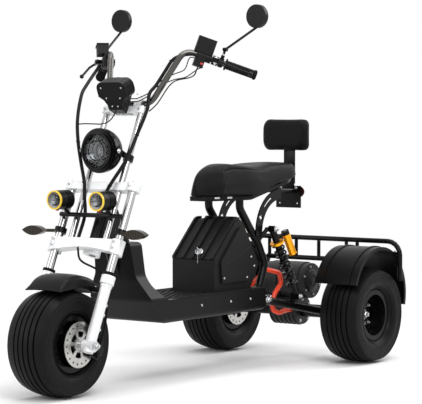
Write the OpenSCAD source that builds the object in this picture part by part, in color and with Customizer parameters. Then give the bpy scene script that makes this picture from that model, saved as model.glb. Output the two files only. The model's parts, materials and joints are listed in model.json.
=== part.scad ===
// Three-wheeled electric scooter with a raked fork, a battery box and a rear drive axle.
// Millimetres. X forward, Y left, Z up, origin on the ground under the middle of the scooter.
// Places named "back" are measured rearwards from the front axle.

/* [Wheels] */
// Distance from the front axle to the rear axle
wheel_base = 1565; // [1300:5:1800]
// Distance between the middles of the rear tyres
rear_track = 740; // [700:5:780]
// Outer radius of a tyre
tyre_r = 205; // [195:1:215]
// Width of a tyre
tyre_w = 180; // [165:1:184]
// Radius of a tyre's shoulders
tyre_shoulder_r = 42; // [30:1:55]
// Radius of the tread's crown across the tyre
tyre_crown_r = 260; // [200:5:400]
// Number of grooves round the tread
tread_grooves = 5; // [3:1:7]
// Width of a tread groove
groove_w = 7; // [4:0.5:10]
// Depth of a tread groove
groove_d = 6; // [3:0.5:9]
// Radius of the rim's barrel, where the tyre seats
bead_r = 95; // [90:1:100]
// Width over the rim's flanges
rim_w = 136; // [120:1:140]
// Height of a rim flange above the barrel
flange_h = 13; // [8:1:14]
// Thickness of the rim's sheet
rim_t = 7; // [4:0.5:8]
// Radius of a wheel's hub
hub_r = 34; // [26:1:44]
// Depth of the dish from the outer flange to the centre plate
dish_d = 74; // [50:1:90]
// Radius of a brake disc
disc_r = 87; // [75:1:90]
// Thickness of a brake disc
disc_t = 4; // [3:0.5:5]
// Offset from the front wheel's middle to its disc
disc_y = 98; // [94:1:100]
// Number of round holes in a disc's rim
disc_holes = 18; // [8:1:24]
// Radius of those holes
disc_hole_r = 4; // [2:0.5:5]
// Number of kidney windows in a disc
disc_windows = 6; // [4:1:8]

/* [Fork] */
// Slope of the fork from upright, in degrees
rake = 24.6; // [22:0.1:27]
// Offset from the middle to a fork leg
fork_y = 150; // [148:1:156]
// Radius of a fork lower leg
lower_r = 21; // [18:0.5:23]
// Top of the lower legs, up the fork
lower_top = 276; // [266:1:300]
// Length of a lower leg below the axle
lower_tail = 27; // [25:1:40]
// Radius of the collar at the top of a lower leg
collar_r = 27; // [23:0.5:31]
// Height of that collar
collar_h = 32; // [20:1:36]
// Height of a dust seal
seal_h = 13; // [8:1:18]
// Radius of a stanchion
stanchion_r = 16; // [13:0.5:17]
// Underside of the lower clamp, up the fork
low_clamp_w = 371; // [360:1:380]
// Height of the lower clamp
low_clamp_h = 48; // [40:1:52]
// Underside of the middle clamp, up the fork
mid_clamp_w = 620; // [610:1:630]
// Height of the middle clamp
mid_clamp_h = 32; // [24:1:40]
// Underside of the top yoke, up the fork
top_yoke_w = 948; // [940:1:952]
// Height of the top yoke
top_yoke_h = 26; // [20:1:28]
// Offset from the middle to an inner tube
inner_y = 85; // [80:1:90]
// Radius of an inner tube
inner_r = 12.5; // [10:0.5:14]
// Offset from the fork's plane back to the steering axis
stem_back = 48; // [44:1:54]
// Radius of the steering stem
stem_r = 15; // [12:0.5:16]
// Radius of the frame's head tube
head_r = 29; // [24:0.5:31]
// Radius of the front axle
axle_r = 8; // [6:0.5:9]
// Thickness of the front caliper's bracket
caliper_t = 8; // [5:0.5:8]

/* [Front fender] */
// Gap from the tread to the fender's edges
fender_gap = 6; // [5:1:12]
// Half the width of the front fender
fender_half_w = 88; // [86:1:96]
// Height of the fender from its edges to its crown
fender_h = 52; // [44:1:60]
// Radius of the fender's upper edges
fender_edge_r = 34; // [20:1:38]
// Thickness of the fender's sheet
fender_t = 4; // [3:0.5:5]
// Angle of the fender's front end above the level of the axle
fender_from = 68; // [55:1:80]
// Angle of the fender's rear end
fender_to = 138; // [128:1:150]

/* [Lamps] */
// Radius of the headlight
headlight_r = 87; // [80:1:90]
// Back of the headlight's front rim
headlight_back = 221; // [215:1:235]
// Height of the headlight's middle
headlight_z = 926; // [915:1:935]
// Number of steps in the headlight's bezel
bezel_steps = 3; // [2:1:3]
// Width of a step of the bezel
bezel_step = 7; // [5:0.5:7]
// Depth of a step of the bezel
bezel_d = 9; // [6:0.5:10]
// Thickness of the headlight's shell
shell_t = 5; // [3:0.5:6]
// Radius of a spot lamp
spot_r = 37; // [32:1:38]
// Length of a spot lamp's housing
spot_len = 80; // [60:1:84]
// Back of a spot lamp's front
spot_back = 96; // [90:1:110]
// Offset from the middle to a spot lamp
spot_y = 104; // [100:1:112]
// Height of a spot lamp's middle
spot_z = 738; // [730:1:746]
// Number of cooling fins on a spot lamp
spot_fins = 5; // [3:1:7]
// Back and height of a turn signal's middle
signal_back = 150; // [140:1:165]
signal_z = 615; // [608:1:622]
// Reach of a turn signal from the middle plane
signal_reach = 305; // [280:1:320]
// Length of a turn signal's lens
signal_len = 110; // [80:1:116]
// Height of a turn signal's lens
signal_h = 38; // [28:1:44]
// Thickness of a turn signal's lens
signal_t = 26; // [18:1:32]

/* [Handlebar] */
// Radius of the handlebar's tube
bar_r = 12; // [11:0.5:13]
// Half the level stretch in the yoke's clamps
bar_root_y = 104; // [98:1:112]
// Back and height of the handlebar over the yoke
bar_root_back = 432; // [428:1:436]
bar_root_z = 1106; // [1102:1:1112]
// Back, side and height of the handlebar's upper corner
bar_corner_back = 543; // [530:1:560]
bar_corner_y = 185; // [175:1:195]
bar_corner_z = 1318; // [1300:1:1340]
// Back, side and height of the handlebar's end
bar_end_back = 728; // [700:1:760]
bar_end_y = 392; // [375:1:405]
bar_end_z = 1220; // [1200:1:1250]
// Radius of the handlebar's bends
bar_bend_r = 48; // [35:1:52]
// Radius of a grip
grip_r = 17; // [15:0.5:19]
// Length of a grip
grip_len = 125; // [110:1:130]
// Back, side and height of a brake lever's tip
lever_back = 648; // [630:1:665]
lever_y = 426; // [415:1:435]
lever_z = 1222; // [1210:1:1235]
// Radius of a mirror
mirror_r = 47; // [40:1:54]
// Back, side and height of a mirror's middle
mirror_back = 822; // [800:1:840]
mirror_y = 345; // [330:1:365]
mirror_z = 1455; // [1440:1:1470]
// Thickness of a mirror's shell
mirror_t = 20; // [14:1:26]
// Half the width of the speedometer's pod
pod_half_w = 72; // [62:1:78]
// Height of the speedometer's pod
pod_h = 112; // [100:1:120]
// Depth of the speedometer's pod
pod_d = 56; // [40:1:58]

/* [Body] */
// Half the width of the floor
floor_half_w = 155; // [150:1:165]
// Height of the floor's top
floor_z = 338; // [330:1:345]
// Depth of the floor's tub
floor_d = 92; // [80:1:96]
// Back of the floor's rear end
floor_back = 1150; // [1140:1:1160]
// Height of the leg shield's top
shield_top_z = 570; // [560:1:580]
// Half the width of the leg shield's top
shield_half_w = 90; // [84:1:96]
// Width of the raised rails along the body's edges
rail_w = 26; // [18:1:32]
// Depth of the well between the rails
well_d = 8; // [6:0.5:9]
// Thickness of the floor mat
mat_t = 6; // [4:0.5:7]

/* [Battery box] */
// Back of the battery box's front wall
box_front_back = 850; // [840:1:860]
// Back of the battery box's rear wall
box_rear_back = 1168; // [1150:1:1172]
// Half the width of the battery box
box_half_w = 108; // [102:1:112]
// Thickness of the raised panel on the box's sides
panel_t = 10; // [6:1:12]
// Height of the lid's lower edge
box_shoulder_z = 468; // [460:1:478]
// Height of the box's top
box_top_z = 622; // [616:1:626]
// Back of the bend at the lid's top
box_bend_back = 1006; // [1000:1:1012]
// Back of the box's rear upper edge
box_top_back = 1046; // [1042:1:1050]
// Thickness of the box's walls
box_t = 5; // [4:0.5:7]
// Thickness of the lid
lid_t = 6; // [4:0.5:7]
// Number of ribs on the lid
lid_ribs = 5; // [3:1:6]
// Height of a rib
rib_h = 9; // [6:0.5:10]

/* [Seat] */
// Back of the seat's nose
seat_nose_back = 834; // [825:1:845]
// Back of the seat's tail
seat_tail_back = 1464; // [1450:1:1475]
// Height of the seat's underside
seat_z = 722; // [718:1:728]
// Thickness of the seat
seat_h = 128; // [115:1:135]
// Half the width of the seat
seat_half_w = 128; // [118:1:136]
// Rise of the tail's underside above the seat's
tail_rise = 78; // [70:1:84]
// Thickness of the seat pan
pan_t = 15; // [12:1:18]
// Half the width of the backrest pad
backrest_half_w = 118; // [100:1:130]
// Height of the backrest pad
backrest_h = 143; // [125:1:150]
// Thickness of the backrest pad
backrest_t = 50; // [40:1:58]
// Height of the backrest's underside
backrest_z = 904; // [896:1:920]
// Back of the plate behind the tail
tail_back = 1550; // [1545:1:1556]
// Distance between the holes of the tail plate
tail_hole_step = 92; // [84:1:96]
// Radius of those holes
tail_hole_r = 4; // [3:0.5:5]

/* [Rear end] */
// Offset from the middle to a rear fender's inner edge
guard_in_y = 250; // [244:1:262]
// Offset from the middle to a rear fender's outer edge
guard_out_y = 456; // [448:1:460]
// Radius of a rear fender's arch
guard_r = 212; // [210:1:222]
// Distance of the arch's middle behind the rear axle
guard_back = 20; // [14:1:24]
// Distance of the arch's middle above the rear axle
guard_up = 80; // [76:1:90]
// Angles of the arch's front and rear ends
guard_from = 17; // [8:1:25]
guard_to = 194; // [184:1:196]
// Radius of the rack's tubes
rack_r = 11; // [9:0.5:12]
// Offset from the middle to the rack's upright legs
rack_y = 478; // [477:1:484]
// Height of the rack's top rail
rack_z = 514; // [508:1:524]
// Height of the rack's lower rail
rack_low_z = 424; // [416:1:432]
// Back of the rack's rear hoop
rack_back = 1706; // [1702:1:1712]
// Height of the lower ends of the rack's legs
rack_leg_z = 345; // [330:1:360]
// Radius of the frame's tubes
frame_r = 17; // [15:0.5:18]
// Offset from the middle to the frame's seat tubes
frame_y = 80; // [76:1:84]
// Radius of the motor's drum
motor_r = 82; // [74:1:86]
// Half the length of the motor's drum
motor_half_len = 108; // [90:1:115]
// Height of the motor's middle
motor_z = 336; // [330:1:342]
// Radius of the gear case round the axle
gear_r = 66; // [58:1:70]
// Half the length of the gear case
gear_half_len = 70; // [60:1:80]
// Radius of the axle housing's tubes
housing_r = 28; // [24:1:32]
// Radius of a shock's spring
spring_r = 27; // [25:0.5:30]
// Radius of the spring's wire
wire_r = 4.5; // [3.5:0.5:5]
// Number of turns of a spring
spring_turns = 7; // [5:1:7]
// Radius of a shock's oil reservoir
reservoir_r = 17; // [14:0.5:19]

/* [Hidden] */
$fn = 48;
// Steps of a tube's bend
bend_steps = 5;
// Overrun of a cut past the face that it opens
cut_over = 2;
// Gap round a shaft that turns in its bore
run_gap = 0.05;
// Gap between pieces that are seated on each other
seat_gap = 0.1;
// Gap between bodies that move past each other
move_gap = 8;
// Gap between a brake disc and its caliper
pad_gap = 5;
// Height of the raised beads on the rear fenders
guard_bead = 4;
front_axle_x = (wheel_base + guard_back + guard_r + guard_bead - tyre_r) / 2;
rear_axle_x = front_axle_x - wheel_base;
wheel_y = rear_track / 2;

// Colours
black = [0.07, 0.07, 0.075];
charcoal = [0.16, 0.165, 0.17];
rubber = [0.05, 0.05, 0.05];
silver = [0.86, 0.87, 0.88];
chrome = [0.75, 0.76, 0.78];
steel = [0.55, 0.56, 0.58];
yellow = [0.95, 0.78, 0.1];
gold = [1.0, 0.66, 0.05];
orange = [0.95, 0.3, 0.08];
smoke = [0.3, 0.18, 0.08];
clear = [0.8, 0.85, 0.88, 0.4];

// X of a place so far behind the front axle
function at_back(back) = front_axle_x - back;
function mix(a, b, t) = a + (b - a) * t;
function unit(v) = v / norm(v);
function mirrored(p, side) = [p[0], p[1] * side, p[2]];

// A point given in the fork's frame, and a place's two coordinates in it
function fork_at(u, y, w) = [
  front_axle_x + u * cos(rake) - w * sin(rake), y,
  tyre_r + u * sin(rake) + w * cos(rake)
];
function fork_u(back, z) = (z - tyre_r) * sin(rake) - back * cos(rake);
function fork_w(back, z) = (z - tyre_r) * cos(rake) + back * sin(rake);

// Rows of shares, laid off from a place: back or side, height, corner radius
function spread(shares, from, size) =
  [for (s = shares) [from[0] + s[0] * size[0], from[1] + s[1] * size[1], s[2] * size[1]]];

// Moves children from the fork's frame, whose Z runs up the fork from the axle
module on_fork() {
  translate([front_axle_x, 0, tyre_r]) rotate([0, -rake, 0]) children();
}

// Turns an upright shape to lie along Y, its top outwards on the given side
module along_y(side = 1) {
  rotate([-90 * side, 0, 0]) children();
}

// Turns an upright shape to point forwards
module along_x() {
  rotate([0, 90, 0]) children();
}

// Places the children at a wheel's middle, Z outwards
module on_wheel(side) {
  translate([rear_axle_x, side * wheel_y, tyre_r]) along_y(side) children();
}

module on_front_wheel() {
  translate([front_axle_x, 0, tyre_r]) along_y() children();
}

// Upright round bar, round bar along Y, block and rectangle at a place
module post(at, r, h) {
  translate(at) cylinder(r = r, h = h);
}

module y_bar(at, r, h) {
  translate(at) along_y() cylinder(r = r, h = h);
}

module block(at, size) {
  translate(at) cube(size);
}

module flat(at, size) {
  translate(at) square(size);
}

// Round bar from one point to another
module rod(from, to, r) {
  run = to - from;
  tilt = acos(run[2] / norm(run));
  turn = atan2(run[1], run[0]);
  translate(from) rotate([0, tilt, turn]) cylinder(r = r, h = norm(run));
}

// Points along corner points, with an arc of bend_r at each corner
function bent_path(points, bend_r) = [
  points[0],
  for (i = [1:len(points) - 2]) each corner_arc(points[i - 1], points[i], points[i + 1], bend_r),
  points[len(points) - 1]
];

// Arc that rounds one corner
function corner_arc(before, corner, after, bend_r) =
  let (
    a = unit(before - corner),
    b = unit(after - corner),
    half_turn = 90 - acos(a * b) / 2,
    inward = unit(a + b),
    across = unit(b - a),
    centre = corner + inward * bend_r / cos(half_turn)
  )
  [for (k = [-1:2 / bend_steps:1])
    centre - inward * bend_r * cos(k * half_turn) + across * bend_r * sin(k * half_turn)];

// Direction of a path at each of its points
function path_ways(path) =
  let (last = len(path) - 1)
  [for (i = [0:last])
    i == 0 ? unit(path[1] - path[0]) :
    i == last ? unit(path[last] - path[last - 1]) :
    unit(unit(path[i] - path[i - 1]) + unit(path[i + 1] - path[i]))];

// A side direction at each point of a path, carried along without twist
function path_sides(ways, done = []) =
  let (i = len(done))
  i == len(ways) ? done :
  path_sides(ways,
    concat(done, [i == 0 ? first_side(ways[0]) : unit(done[i - 1] - ways[i] * (done[i - 1] * ways[i]))]));

function first_side(way) = unit(cross(way, abs(way[2]) > abs(way[0]) ? [1, 0, 0] : [0, 0, 1]));

// Round tube swept along the points of a path
module swept_tube(path, r, sides = 16) {
  ways = path_ways(path);
  firsts = path_sides(ways);
  last = len(path) - 1;
  points = [for (i = [0:last], k = [0:sides - 1])
      let (turn = 360 / sides * k)
        path[i] + r * (cos(turn) * firsts[i] + sin(turn) * cross(ways[i], firsts[i]))];
  walls = [for (i = [0:last - 1], k = [0:sides - 1])
      let (
        a = i * sides + k,
        b = i * sides + (k + 1) % sides
      )
        each [[a, a + sides, b], [b, a + sides, b + sides]]];
  caps = [
    [for (k = [0:sides - 1]) k],
    [for (k = [sides - 1:-1:0]) last * sides + k]
  ];
  polyhedron(points = points, faces = concat(walls, caps));
}

// Round tube along corner points, bent to bend_r at each corner
module bent_tube(points, r, bend_r, sides = 16) {
  swept_tube(bent_path(points, bend_r), r, sides);
}

// Rectangle from low to high with rounded corners, made of exact arcs
module rounded_rect(low, high, r) {
  flat([low[0] + r, low[1]], [high[0] - low[0] - 2 * r, high[1] - low[1]]);
  flat([low[0], low[1] + r], [high[0] - low[0], high[1] - low[1] - 2 * r]);
  for (x = [low[0] + r, high[0] - r], y = [low[1] + r, high[1] - r])
    translate([x, y]) circle(r = r);
}

// Box with rounded upright edges, standing on z = 0 around the origin
module rounded_block(size, r) {
  linear_extrude(size[2]) rounded_rect([-size[0] / 2, -size[1] / 2], [size[0] / 2, size[1] / 2], r);
}

// Wheels

module tyre_ring() {
  half_w = tyre_w / 2;
  foot_r = bead_r + flange_h + run_gap;
  bead_half_w = rim_w / 2 - rim_t - seat_gap;
  land_step = (tyre_w - 2 * tyre_shoulder_r) / (tread_grooves - 1);
  rotate_extrude($fn = 96) difference() {
    union() {
      intersection() {
        rounded_rect([foot_r, -half_w], [tyre_r + tyre_shoulder_r / 2, half_w], tyre_shoulder_r);
        translate([tyre_r - tyre_crown_r, 0]) circle(r = tyre_crown_r, $fn = 180);
      }
      flat([bead_r, -bead_half_w], [tyre_shoulder_r, 2 * bead_half_w]);
    }
    for (i = [0:tread_grooves - 1])
      flat([tyre_r - groove_d - groove_sag(i), i * land_step - half_w + tyre_shoulder_r - groove_w / 2],
        [groove_d + cut_over + groove_sag(i), groove_w]);
  }
}

// Drop of the crown at a groove
function groove_sag(i) =
  let (across = (i / (tread_grooves - 1) - 1 / 2) * (tyre_w - 2 * tyre_shoulder_r))
  tyre_crown_r - sqrt(tyre_crown_r * tyre_crown_r - across * across);

// Barrel, flanges, stepped dish and hub; z points outwards
module rim_body(plate_z, hub_from, hub_to, bore_r) {
  half_w = rim_w / 2;
  step_r = mix(hub_r, bead_r, 0.62);
  rotate_extrude($fn = 72) difference() {
    union() {
      flat([bead_r - rim_t, -half_w], [rim_t, rim_w]);
      for (z = [-half_w, half_w - rim_t]) flat([bead_r - rim_t, z], [rim_t + flange_h, rim_t]);
      flat([0, plate_z], [bead_r - rim_t, rim_t]);
      flat([step_r, plate_z], [rim_t, 3 * rim_t]);
      flat([step_r, plate_z + 2 * rim_t], [bead_r - step_r, rim_t]);
      flat([0, hub_from], [hub_r, hub_to - hub_from]);
    }
    if (bore_r > 0)
      flat([0, hub_from - cut_over], [bore_r, hub_to - hub_from + 2 * cut_over]);
  }
}

// Perforated brake disc standing on z = 0
module brake_disc(outer_r, inner_r) {
  window_r = mix(inner_r, outer_r, 0.4);
  window_half = (outer_r - inner_r) * 0.14;
  hole_ring_r = mix(inner_r, outer_r, 0.82);
  difference() {
    cylinder(r = outer_r, h = disc_t, $fn = 96);
    post([0, 0, -cut_over], inner_r, disc_t + 2 * cut_over);
    for (i = [0:disc_holes - 1]) rotate(360 / disc_holes * i) translate([hole_ring_r, 0, -cut_over])
      cylinder(r = disc_hole_r, h = disc_t + 2 * cut_over, $fn = 16);
    for (i = [0:disc_windows - 1]) rotate(360 / disc_windows * i) translate([0, 0, -cut_over])
      rotate_extrude(angle = 240 / disc_windows)
        flat([window_r - window_half, 0], [2 * window_half, disc_t + 2 * cut_over]);
  }
}

front_plate_z = -rim_t / 2;
rear_plate_z = rim_w / 2 - dish_d;
rear_disc_z = -rim_w / 2 - 3 * rim_t;
shaft_r = hub_r / 2;
shaft_len = 3 * shaft_r;

module front_tyre() {
  color(rubber) on_front_wheel() tyre_ring();
}

module front_rim() {
  color(black) on_front_wheel() rim_body(front_plate_z, -disc_y, disc_y, axle_r + run_gap);
}

module front_disc() {
  color(steel) on_front_wheel() translate([0, 0, disc_y]) brake_disc(disc_r, axle_r + run_gap);
}

module rear_tyre(side) {
  color(rubber) on_wheel(side) tyre_ring();
}

module rear_rim(side) {
  color(black) on_wheel(side) {
    rim_body(rear_plate_z, rear_disc_z + disc_t, rear_plate_z + 3 * rim_t, 0);
    post([0, 0, rear_disc_z - shaft_len], shaft_r, shaft_len + disc_t + rim_t);
  }
}

module rear_disc(side) {
  color(steel) on_wheel(side) translate([0, 0, rear_disc_z]) brake_disc(disc_r, shaft_r + seat_gap);
}

// Fork and steering

module steering_stem() {
  color(black) on_fork()
    post([-stem_back, 0, low_clamp_w], stem_r, mid_clamp_w + mid_clamp_h - low_clamp_w);
}

clamp_end_r = 1.75 * stanchion_r;
yoke_end_r = 1.6 * inner_r;
// Width of a riser block and its radius round the handlebar
riser_w = 30;
riser_r = 20;
riser_y = bar_root_y / 2;
bar_u = fork_u(bar_root_back, bar_root_z);
bar_w = fork_w(bar_root_back, bar_root_z);
yoke_top = top_yoke_w + top_yoke_h;

// Clamp across the fork with round ends and bores of [u, y, radius]
module clamp_plate(height, half_span, end_r, waist, bores) {
  difference() {
    union() {
      for (side = [-1, 1]) post([0, side * half_span, 0], end_r, height);
      block([-waist / 2, -half_span, 0], [waist, 2 * half_span, height]);
      children();
    }
    for (b = bores) post([b[0], b[1], -height], b[2] + seat_gap, 3 * height);
  }
}

// Boss that carries the steering stem behind a clamp
module stem_boss(height) {
  boss_r = 2 * stem_r;
  post([-stem_back, 0, 0], boss_r, height);
  block([-stem_back, -boss_r, 0], [stem_back, 2 * boss_r, height]);
}

// Round cut that arches the underside of a clamp by rise
module arch_cut(half_span, rise, depth) {
  arch_r = (half_span * half_span + rise * rise) / (2 * rise);
  translate([-depth, 0, rise - arch_r]) along_x()
    cylinder(r = arch_r, h = depth + clamp_end_r, $fn = 180);
}

module fork_clamps() {
  outer_bores = [for (side = [-1, 1]) [0, side * fork_y, stanchion_r]];
  inner_bores = [for (side = [-1, 1]) [0, side * inner_y, inner_r]];
  stem_bore = [[-stem_back, 0, stem_r]];
  collar_drop = low_clamp_h / 5;
  waist = 1.5 * clamp_end_r;
  pocket = [yoke_end_r, 1.1 * inner_y, 0.6 * top_yoke_h];
  color(silver) on_fork() {
    translate([0, 0, low_clamp_w]) difference() {
      clamp_plate(low_clamp_h, fork_y, clamp_end_r, waist, concat(outer_bores, stem_bore)) {
        stem_boss(low_clamp_h);
        for (side = [-1, 1]) post([0, side * fork_y, -collar_drop], clamp_end_r, low_clamp_h);
      }
      arch_cut(fork_y - clamp_end_r, low_clamp_h / 4, stem_back / 2);
    }
    translate([0, 0, mid_clamp_w])
      clamp_plate(mid_clamp_h, fork_y, clamp_end_r, waist, concat(outer_bores, inner_bores, stem_bore))
        stem_boss(mid_clamp_h);
    difference() {
      union() {
        translate([0, 0, top_yoke_w])
          clamp_plate(top_yoke_h, inner_y, yoke_end_r, 2 * yoke_end_r, inner_bores);
        for (side = [-1, 1]) riser_block(side);
      }
      translate([0, 0, top_yoke_w - cut_over]) rounded_block(pocket, yoke_end_r / 3);
      y_bar([bar_u, -2 * riser_y, bar_w], bar_r + seat_gap, 4 * riser_y);
    }
  }
}

// Block on the top yoke that holds the handlebar
module riser_block(side) {
  y_bar([bar_u, side * riser_y - riser_w / 2, bar_w], riser_r, riser_w);
  block([bar_u - riser_r, side * riser_y - riser_w / 2, yoke_top - cut_over],
    [2 * riser_r, riser_w, bar_w - yoke_top + cut_over]);
}

module fork_stanchions() {
  color(chrome) on_fork() for (side = [-1, 1]) {
    post([0, side * fork_y, lower_top], stanchion_r, mid_clamp_w + mid_clamp_h - lower_top);
    post([0, side * inner_y, low_clamp_w + low_clamp_h], inner_r,
      top_yoke_w + top_yoke_h - low_clamp_w - low_clamp_h);
  }
}

axle_boss_r = 1.1 * lower_r;
// Heights of the caliper's lugs, as shares of the lower leg
lug_shares = [0.26, 0.47, 0.61];
lug_r = 9;
lug_u = -lower_r - lug_r / 2;
bracket_out_y = fork_y - 1.4 * lower_r;

module fork_lowers() {
  color(silver) on_fork() {
    for (side = [-1, 1]) translate([0, side * fork_y, 0]) difference() {
      union() {
        post([0, 0, -lower_tail], lower_r, lower_top + lower_tail);
        post([0, 0, lower_top - collar_h], collar_r, collar_h);
        y_bar([0, -axle_boss_r, 0], axle_boss_r, 2 * axle_boss_r);
        if (side > 0) caliper_lugs();
      }
      y_bar([0, -fork_y, 0], axle_r + seat_gap, 2 * fork_y);
    }
  }
}

// Lugs behind the left leg, from the leg's middle
module caliper_lugs() {
  lug_in = bracket_out_y + seat_gap - fork_y;
  for (share = lug_shares) translate([0, 0, share * lower_top]) {
    y_bar([lug_u, lug_in, 0], lug_r, -lug_in);
    block([lug_u, -lug_r, -lug_r], [-lug_u, lug_r, 2 * lug_r]);
  }
}

module fork_seals() {
  color(rubber) on_fork() for (side = [-1, 1]) translate([0, side * fork_y, lower_top])
    difference() {
      cylinder(r = mix(stanchion_r, collar_r, 0.8), h = seal_h);
      post([0, 0, -cut_over], stanchion_r + seat_gap, seal_h + 2 * cut_over);
    }
}

axle_nut_r = 1.6 * axle_r;

module front_axle() {
  axle_end = fork_y + axle_boss_r;
  color(steel) on_fork() for (side = [-1, 1]) along_y(side) {
    spacer_from = (side > 0 ? disc_y + disc_t : disc_y) + run_gap;
    cylinder(r = axle_r, h = axle_end);
    translate([0, 0, axle_end]) cylinder(r = axle_nut_r, h = axle_r, $fn = 6);
    post([0, 0, spacer_from], axle_nut_r, fork_y - axle_boss_r - spacer_from);
  }
}

fender_low_r = tyre_r + fender_gap;
fender_top_r = fender_low_r + fender_h;

// Channel bent over the wheel, held by a stay from each fork leg
module front_fender() {
  stay = [6 * fender_t, fork_y - fender_half_w + fender_t / 2, fender_h - fender_edge_r];
  inner_r = fender_edge_r - fender_t;
  color(black) {
    translate([front_axle_x, 0, tyre_r]) rotate([90, 0, 0]) rotate([0, 0, fender_from])
      rotate_extrude(angle = fender_to - fender_from, $fn = 96) intersection() {
        difference() {
          rounded_rect([fender_low_r - 2 * fender_edge_r, -fender_half_w], [fender_top_r, fender_half_w],
            fender_edge_r);
          rounded_rect([fender_low_r - 3 * fender_edge_r, fender_t - fender_half_w],
            [fender_top_r - fender_t, fender_half_w - fender_t], inner_r);
        }
        flat([fender_low_r, -fender_half_w], [fender_h, 2 * fender_half_w]);
      }
    on_fork() difference() {
      for (side = [0, 180]) rotate([0, 0, side])
        block([-stay[0] / 2, fender_half_w - fender_t / 2, fender_low_r], stay);
      for (side = [-1, 1]) post([0, side * fork_y, 0], lower_r + seat_gap, lower_top);
    }
  }
}

caliper_far = -disc_r - pad_gap;
// Size of the caliper's block and radius of its piston's cover
caliper_len = 52;
caliper_h = 70;
caliper_up = 9;
piston_r = 24;
piston_d = 13;

// Caliper round the front disc, on a bracket on the left leg
module front_caliper() {
  wall = caliper_t + 1 / 4 * caliper_t;
  slot_w = disc_t + 2 * pad_gap;
  in_y = disc_y - pad_gap - wall;
  out_y = bracket_out_y;
  far = caliper_far - wall - caliper_t / 2;
  low = caliper_up - caliper_h / 2;
  high_lug = lug_shares[2] * lower_top + lug_r;
  low_lug = lug_shares[0] * lower_top - lug_r;
  color(black) on_fork() {
    difference() {
      block([far, in_y, low], [caliper_len, out_y - in_y, caliper_h]);
      block([caliper_far, disc_y - pad_gap, low - cut_over],
        [2 * caliper_len, slot_w, caliper_h + 2 * cut_over]);
    }
    y_bar([far + caliper_len / 2, out_y, caliper_up], piston_r, piston_d);
    translate([0, out_y, 0]) rotate([90, 0, 0]) linear_extrude(caliper_t) polygon([
      [lug_u + lug_r, high_lug], [lug_u - lug_r, high_lug], [2 * lug_u, low_lug],
      [far, low + caliper_h], [far, low], [far + caliper_len, low],
      [far + caliper_len, low + caliper_h], [lug_u + lug_r, low_lug]
    ]);
  }
}

// Lamps

bezel_len = bezel_steps * bezel_d;
headlight_mid = [at_back(headlight_back + bezel_len), 0, headlight_z];
bezel_in_r = headlight_r - bezel_steps * bezel_step;

// Ball-shaped bowl with a stepped bezel, open in front
module headlight_bowl() {
  color(black) translate(headlight_mid) along_x() rotate_extrude($fn = 96) difference() {
    union() {
      intersection() {
        circle(r = headlight_r, $fn = 96);
        flat([0, -headlight_r], headlight_r);
      }
      for (i = [0:bezel_steps - 1]) square([headlight_r - i * bezel_step, (i + 1) * bezel_d]);
    }
    intersection() {
      circle(r = headlight_r - shell_t, $fn = 96);
      flat([-cut_over, -headlight_r], [headlight_r, headlight_r]);
    }
    flat([-cut_over, -seat_gap], [bezel_in_r + cut_over, bezel_len + cut_over]);
  }
}

module headlight_lens() {
  color(clear) translate(headlight_mid + [bezel_d, 0, 0]) along_x()
    cylinder(r = bezel_in_r - seat_gap, h = shell_t, $fn = 96);
}

// Places of the lamp bar and the signals' clamps
lamp_bar_w = low_clamp_w + low_clamp_h + 2.4 * signal_h;
lamp_bar_r = 9;
lamp_bar_u = stanchion_r + lamp_bar_r + seat_gap;
ring_r = 1.5 * stanchion_r;
ring_h = signal_t - shell_t;
ring_w = fork_w(tan(rake) * (signal_z - tyre_r), signal_z) - ring_h / 2;
headlight_w = fork_w(headlight_back + bezel_len, headlight_z);
headlight_u = fork_u(headlight_back + bezel_len, headlight_z);

// Bar and arms of the lamps, with the turn signals' clamps
module lamp_brackets() {
  arm_r = 7;
  lug_h = 24;
  bar_mid = fork_at(lamp_bar_u, 0, lamp_bar_w);
  spot_foot = [at_back(spot_back + spot_len / 4), 0, spot_z];
  color(black) {
    on_fork() y_bar([lamp_bar_u, -fork_y, lamp_bar_w], lamp_bar_r, 2 * fork_y);
    difference() {
      for (side = [-1, 1])
        rod(bar_mid + [0, side * spot_y, 0], spot_foot + [0, side * spot_y, 0], arm_r);
      for (side = [-1, 1])
        translate([at_back(spot_back + spot_len), side * spot_y, spot_z]) along_x()
          cylinder(r = spot_r + seat_gap, h = spot_len);
      on_fork() for (side = [-1, 1])
        post([0, side * fork_y, 0], stanchion_r + seat_gap, mid_clamp_w);
    }
    on_fork() difference() {
      for (side = [-1, 1]) {
        post([0, side * fork_y, ring_w], ring_r, ring_h);
        post([0, side * inner_y, headlight_w - lug_h / 2], yoke_end_r, lug_h);
        block([0, side * (headlight_r + seat_gap + shell_t / 2) - shell_t / 2, headlight_w - lug_h / 2],
          [headlight_u, shell_t, lug_h]);
      }
      for (side = [-1, 1]) {
        post([0, side * fork_y, 0], stanchion_r + seat_gap, mid_clamp_w);
        post([0, side * inner_y, 0], inner_r + seat_gap, top_yoke_w);
      }
    }
  }
}

module spot_lamps() {
  core_share = 0.8;
  fin_pitch = spot_len / (2 * spot_fins);
  color(black) for (side = [-1, 1])
    translate([at_back(spot_back + spot_len), side * spot_y, spot_z]) along_x() rotate_extrude()
      union() {
        square([core_share * spot_r, spot_len - shell_t]);
        flat([0, spot_len / 2], [spot_r, spot_len / 2 - shell_t]);
        for (i = [0:spot_fins - 1]) flat([0, i * fin_pitch], [spot_r, fin_pitch / 2]);
      }
}

module spot_rings() {
  face_share = 0.84;
  color(yellow) for (side = [-1, 1])
    translate([at_back(spot_back + shell_t), side * spot_y, spot_z]) along_x() difference() {
      cylinder(r = spot_r, h = shell_t);
      post([0, 0, shell_t / 2], face_share * spot_r, shell_t);
    }
}

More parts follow.
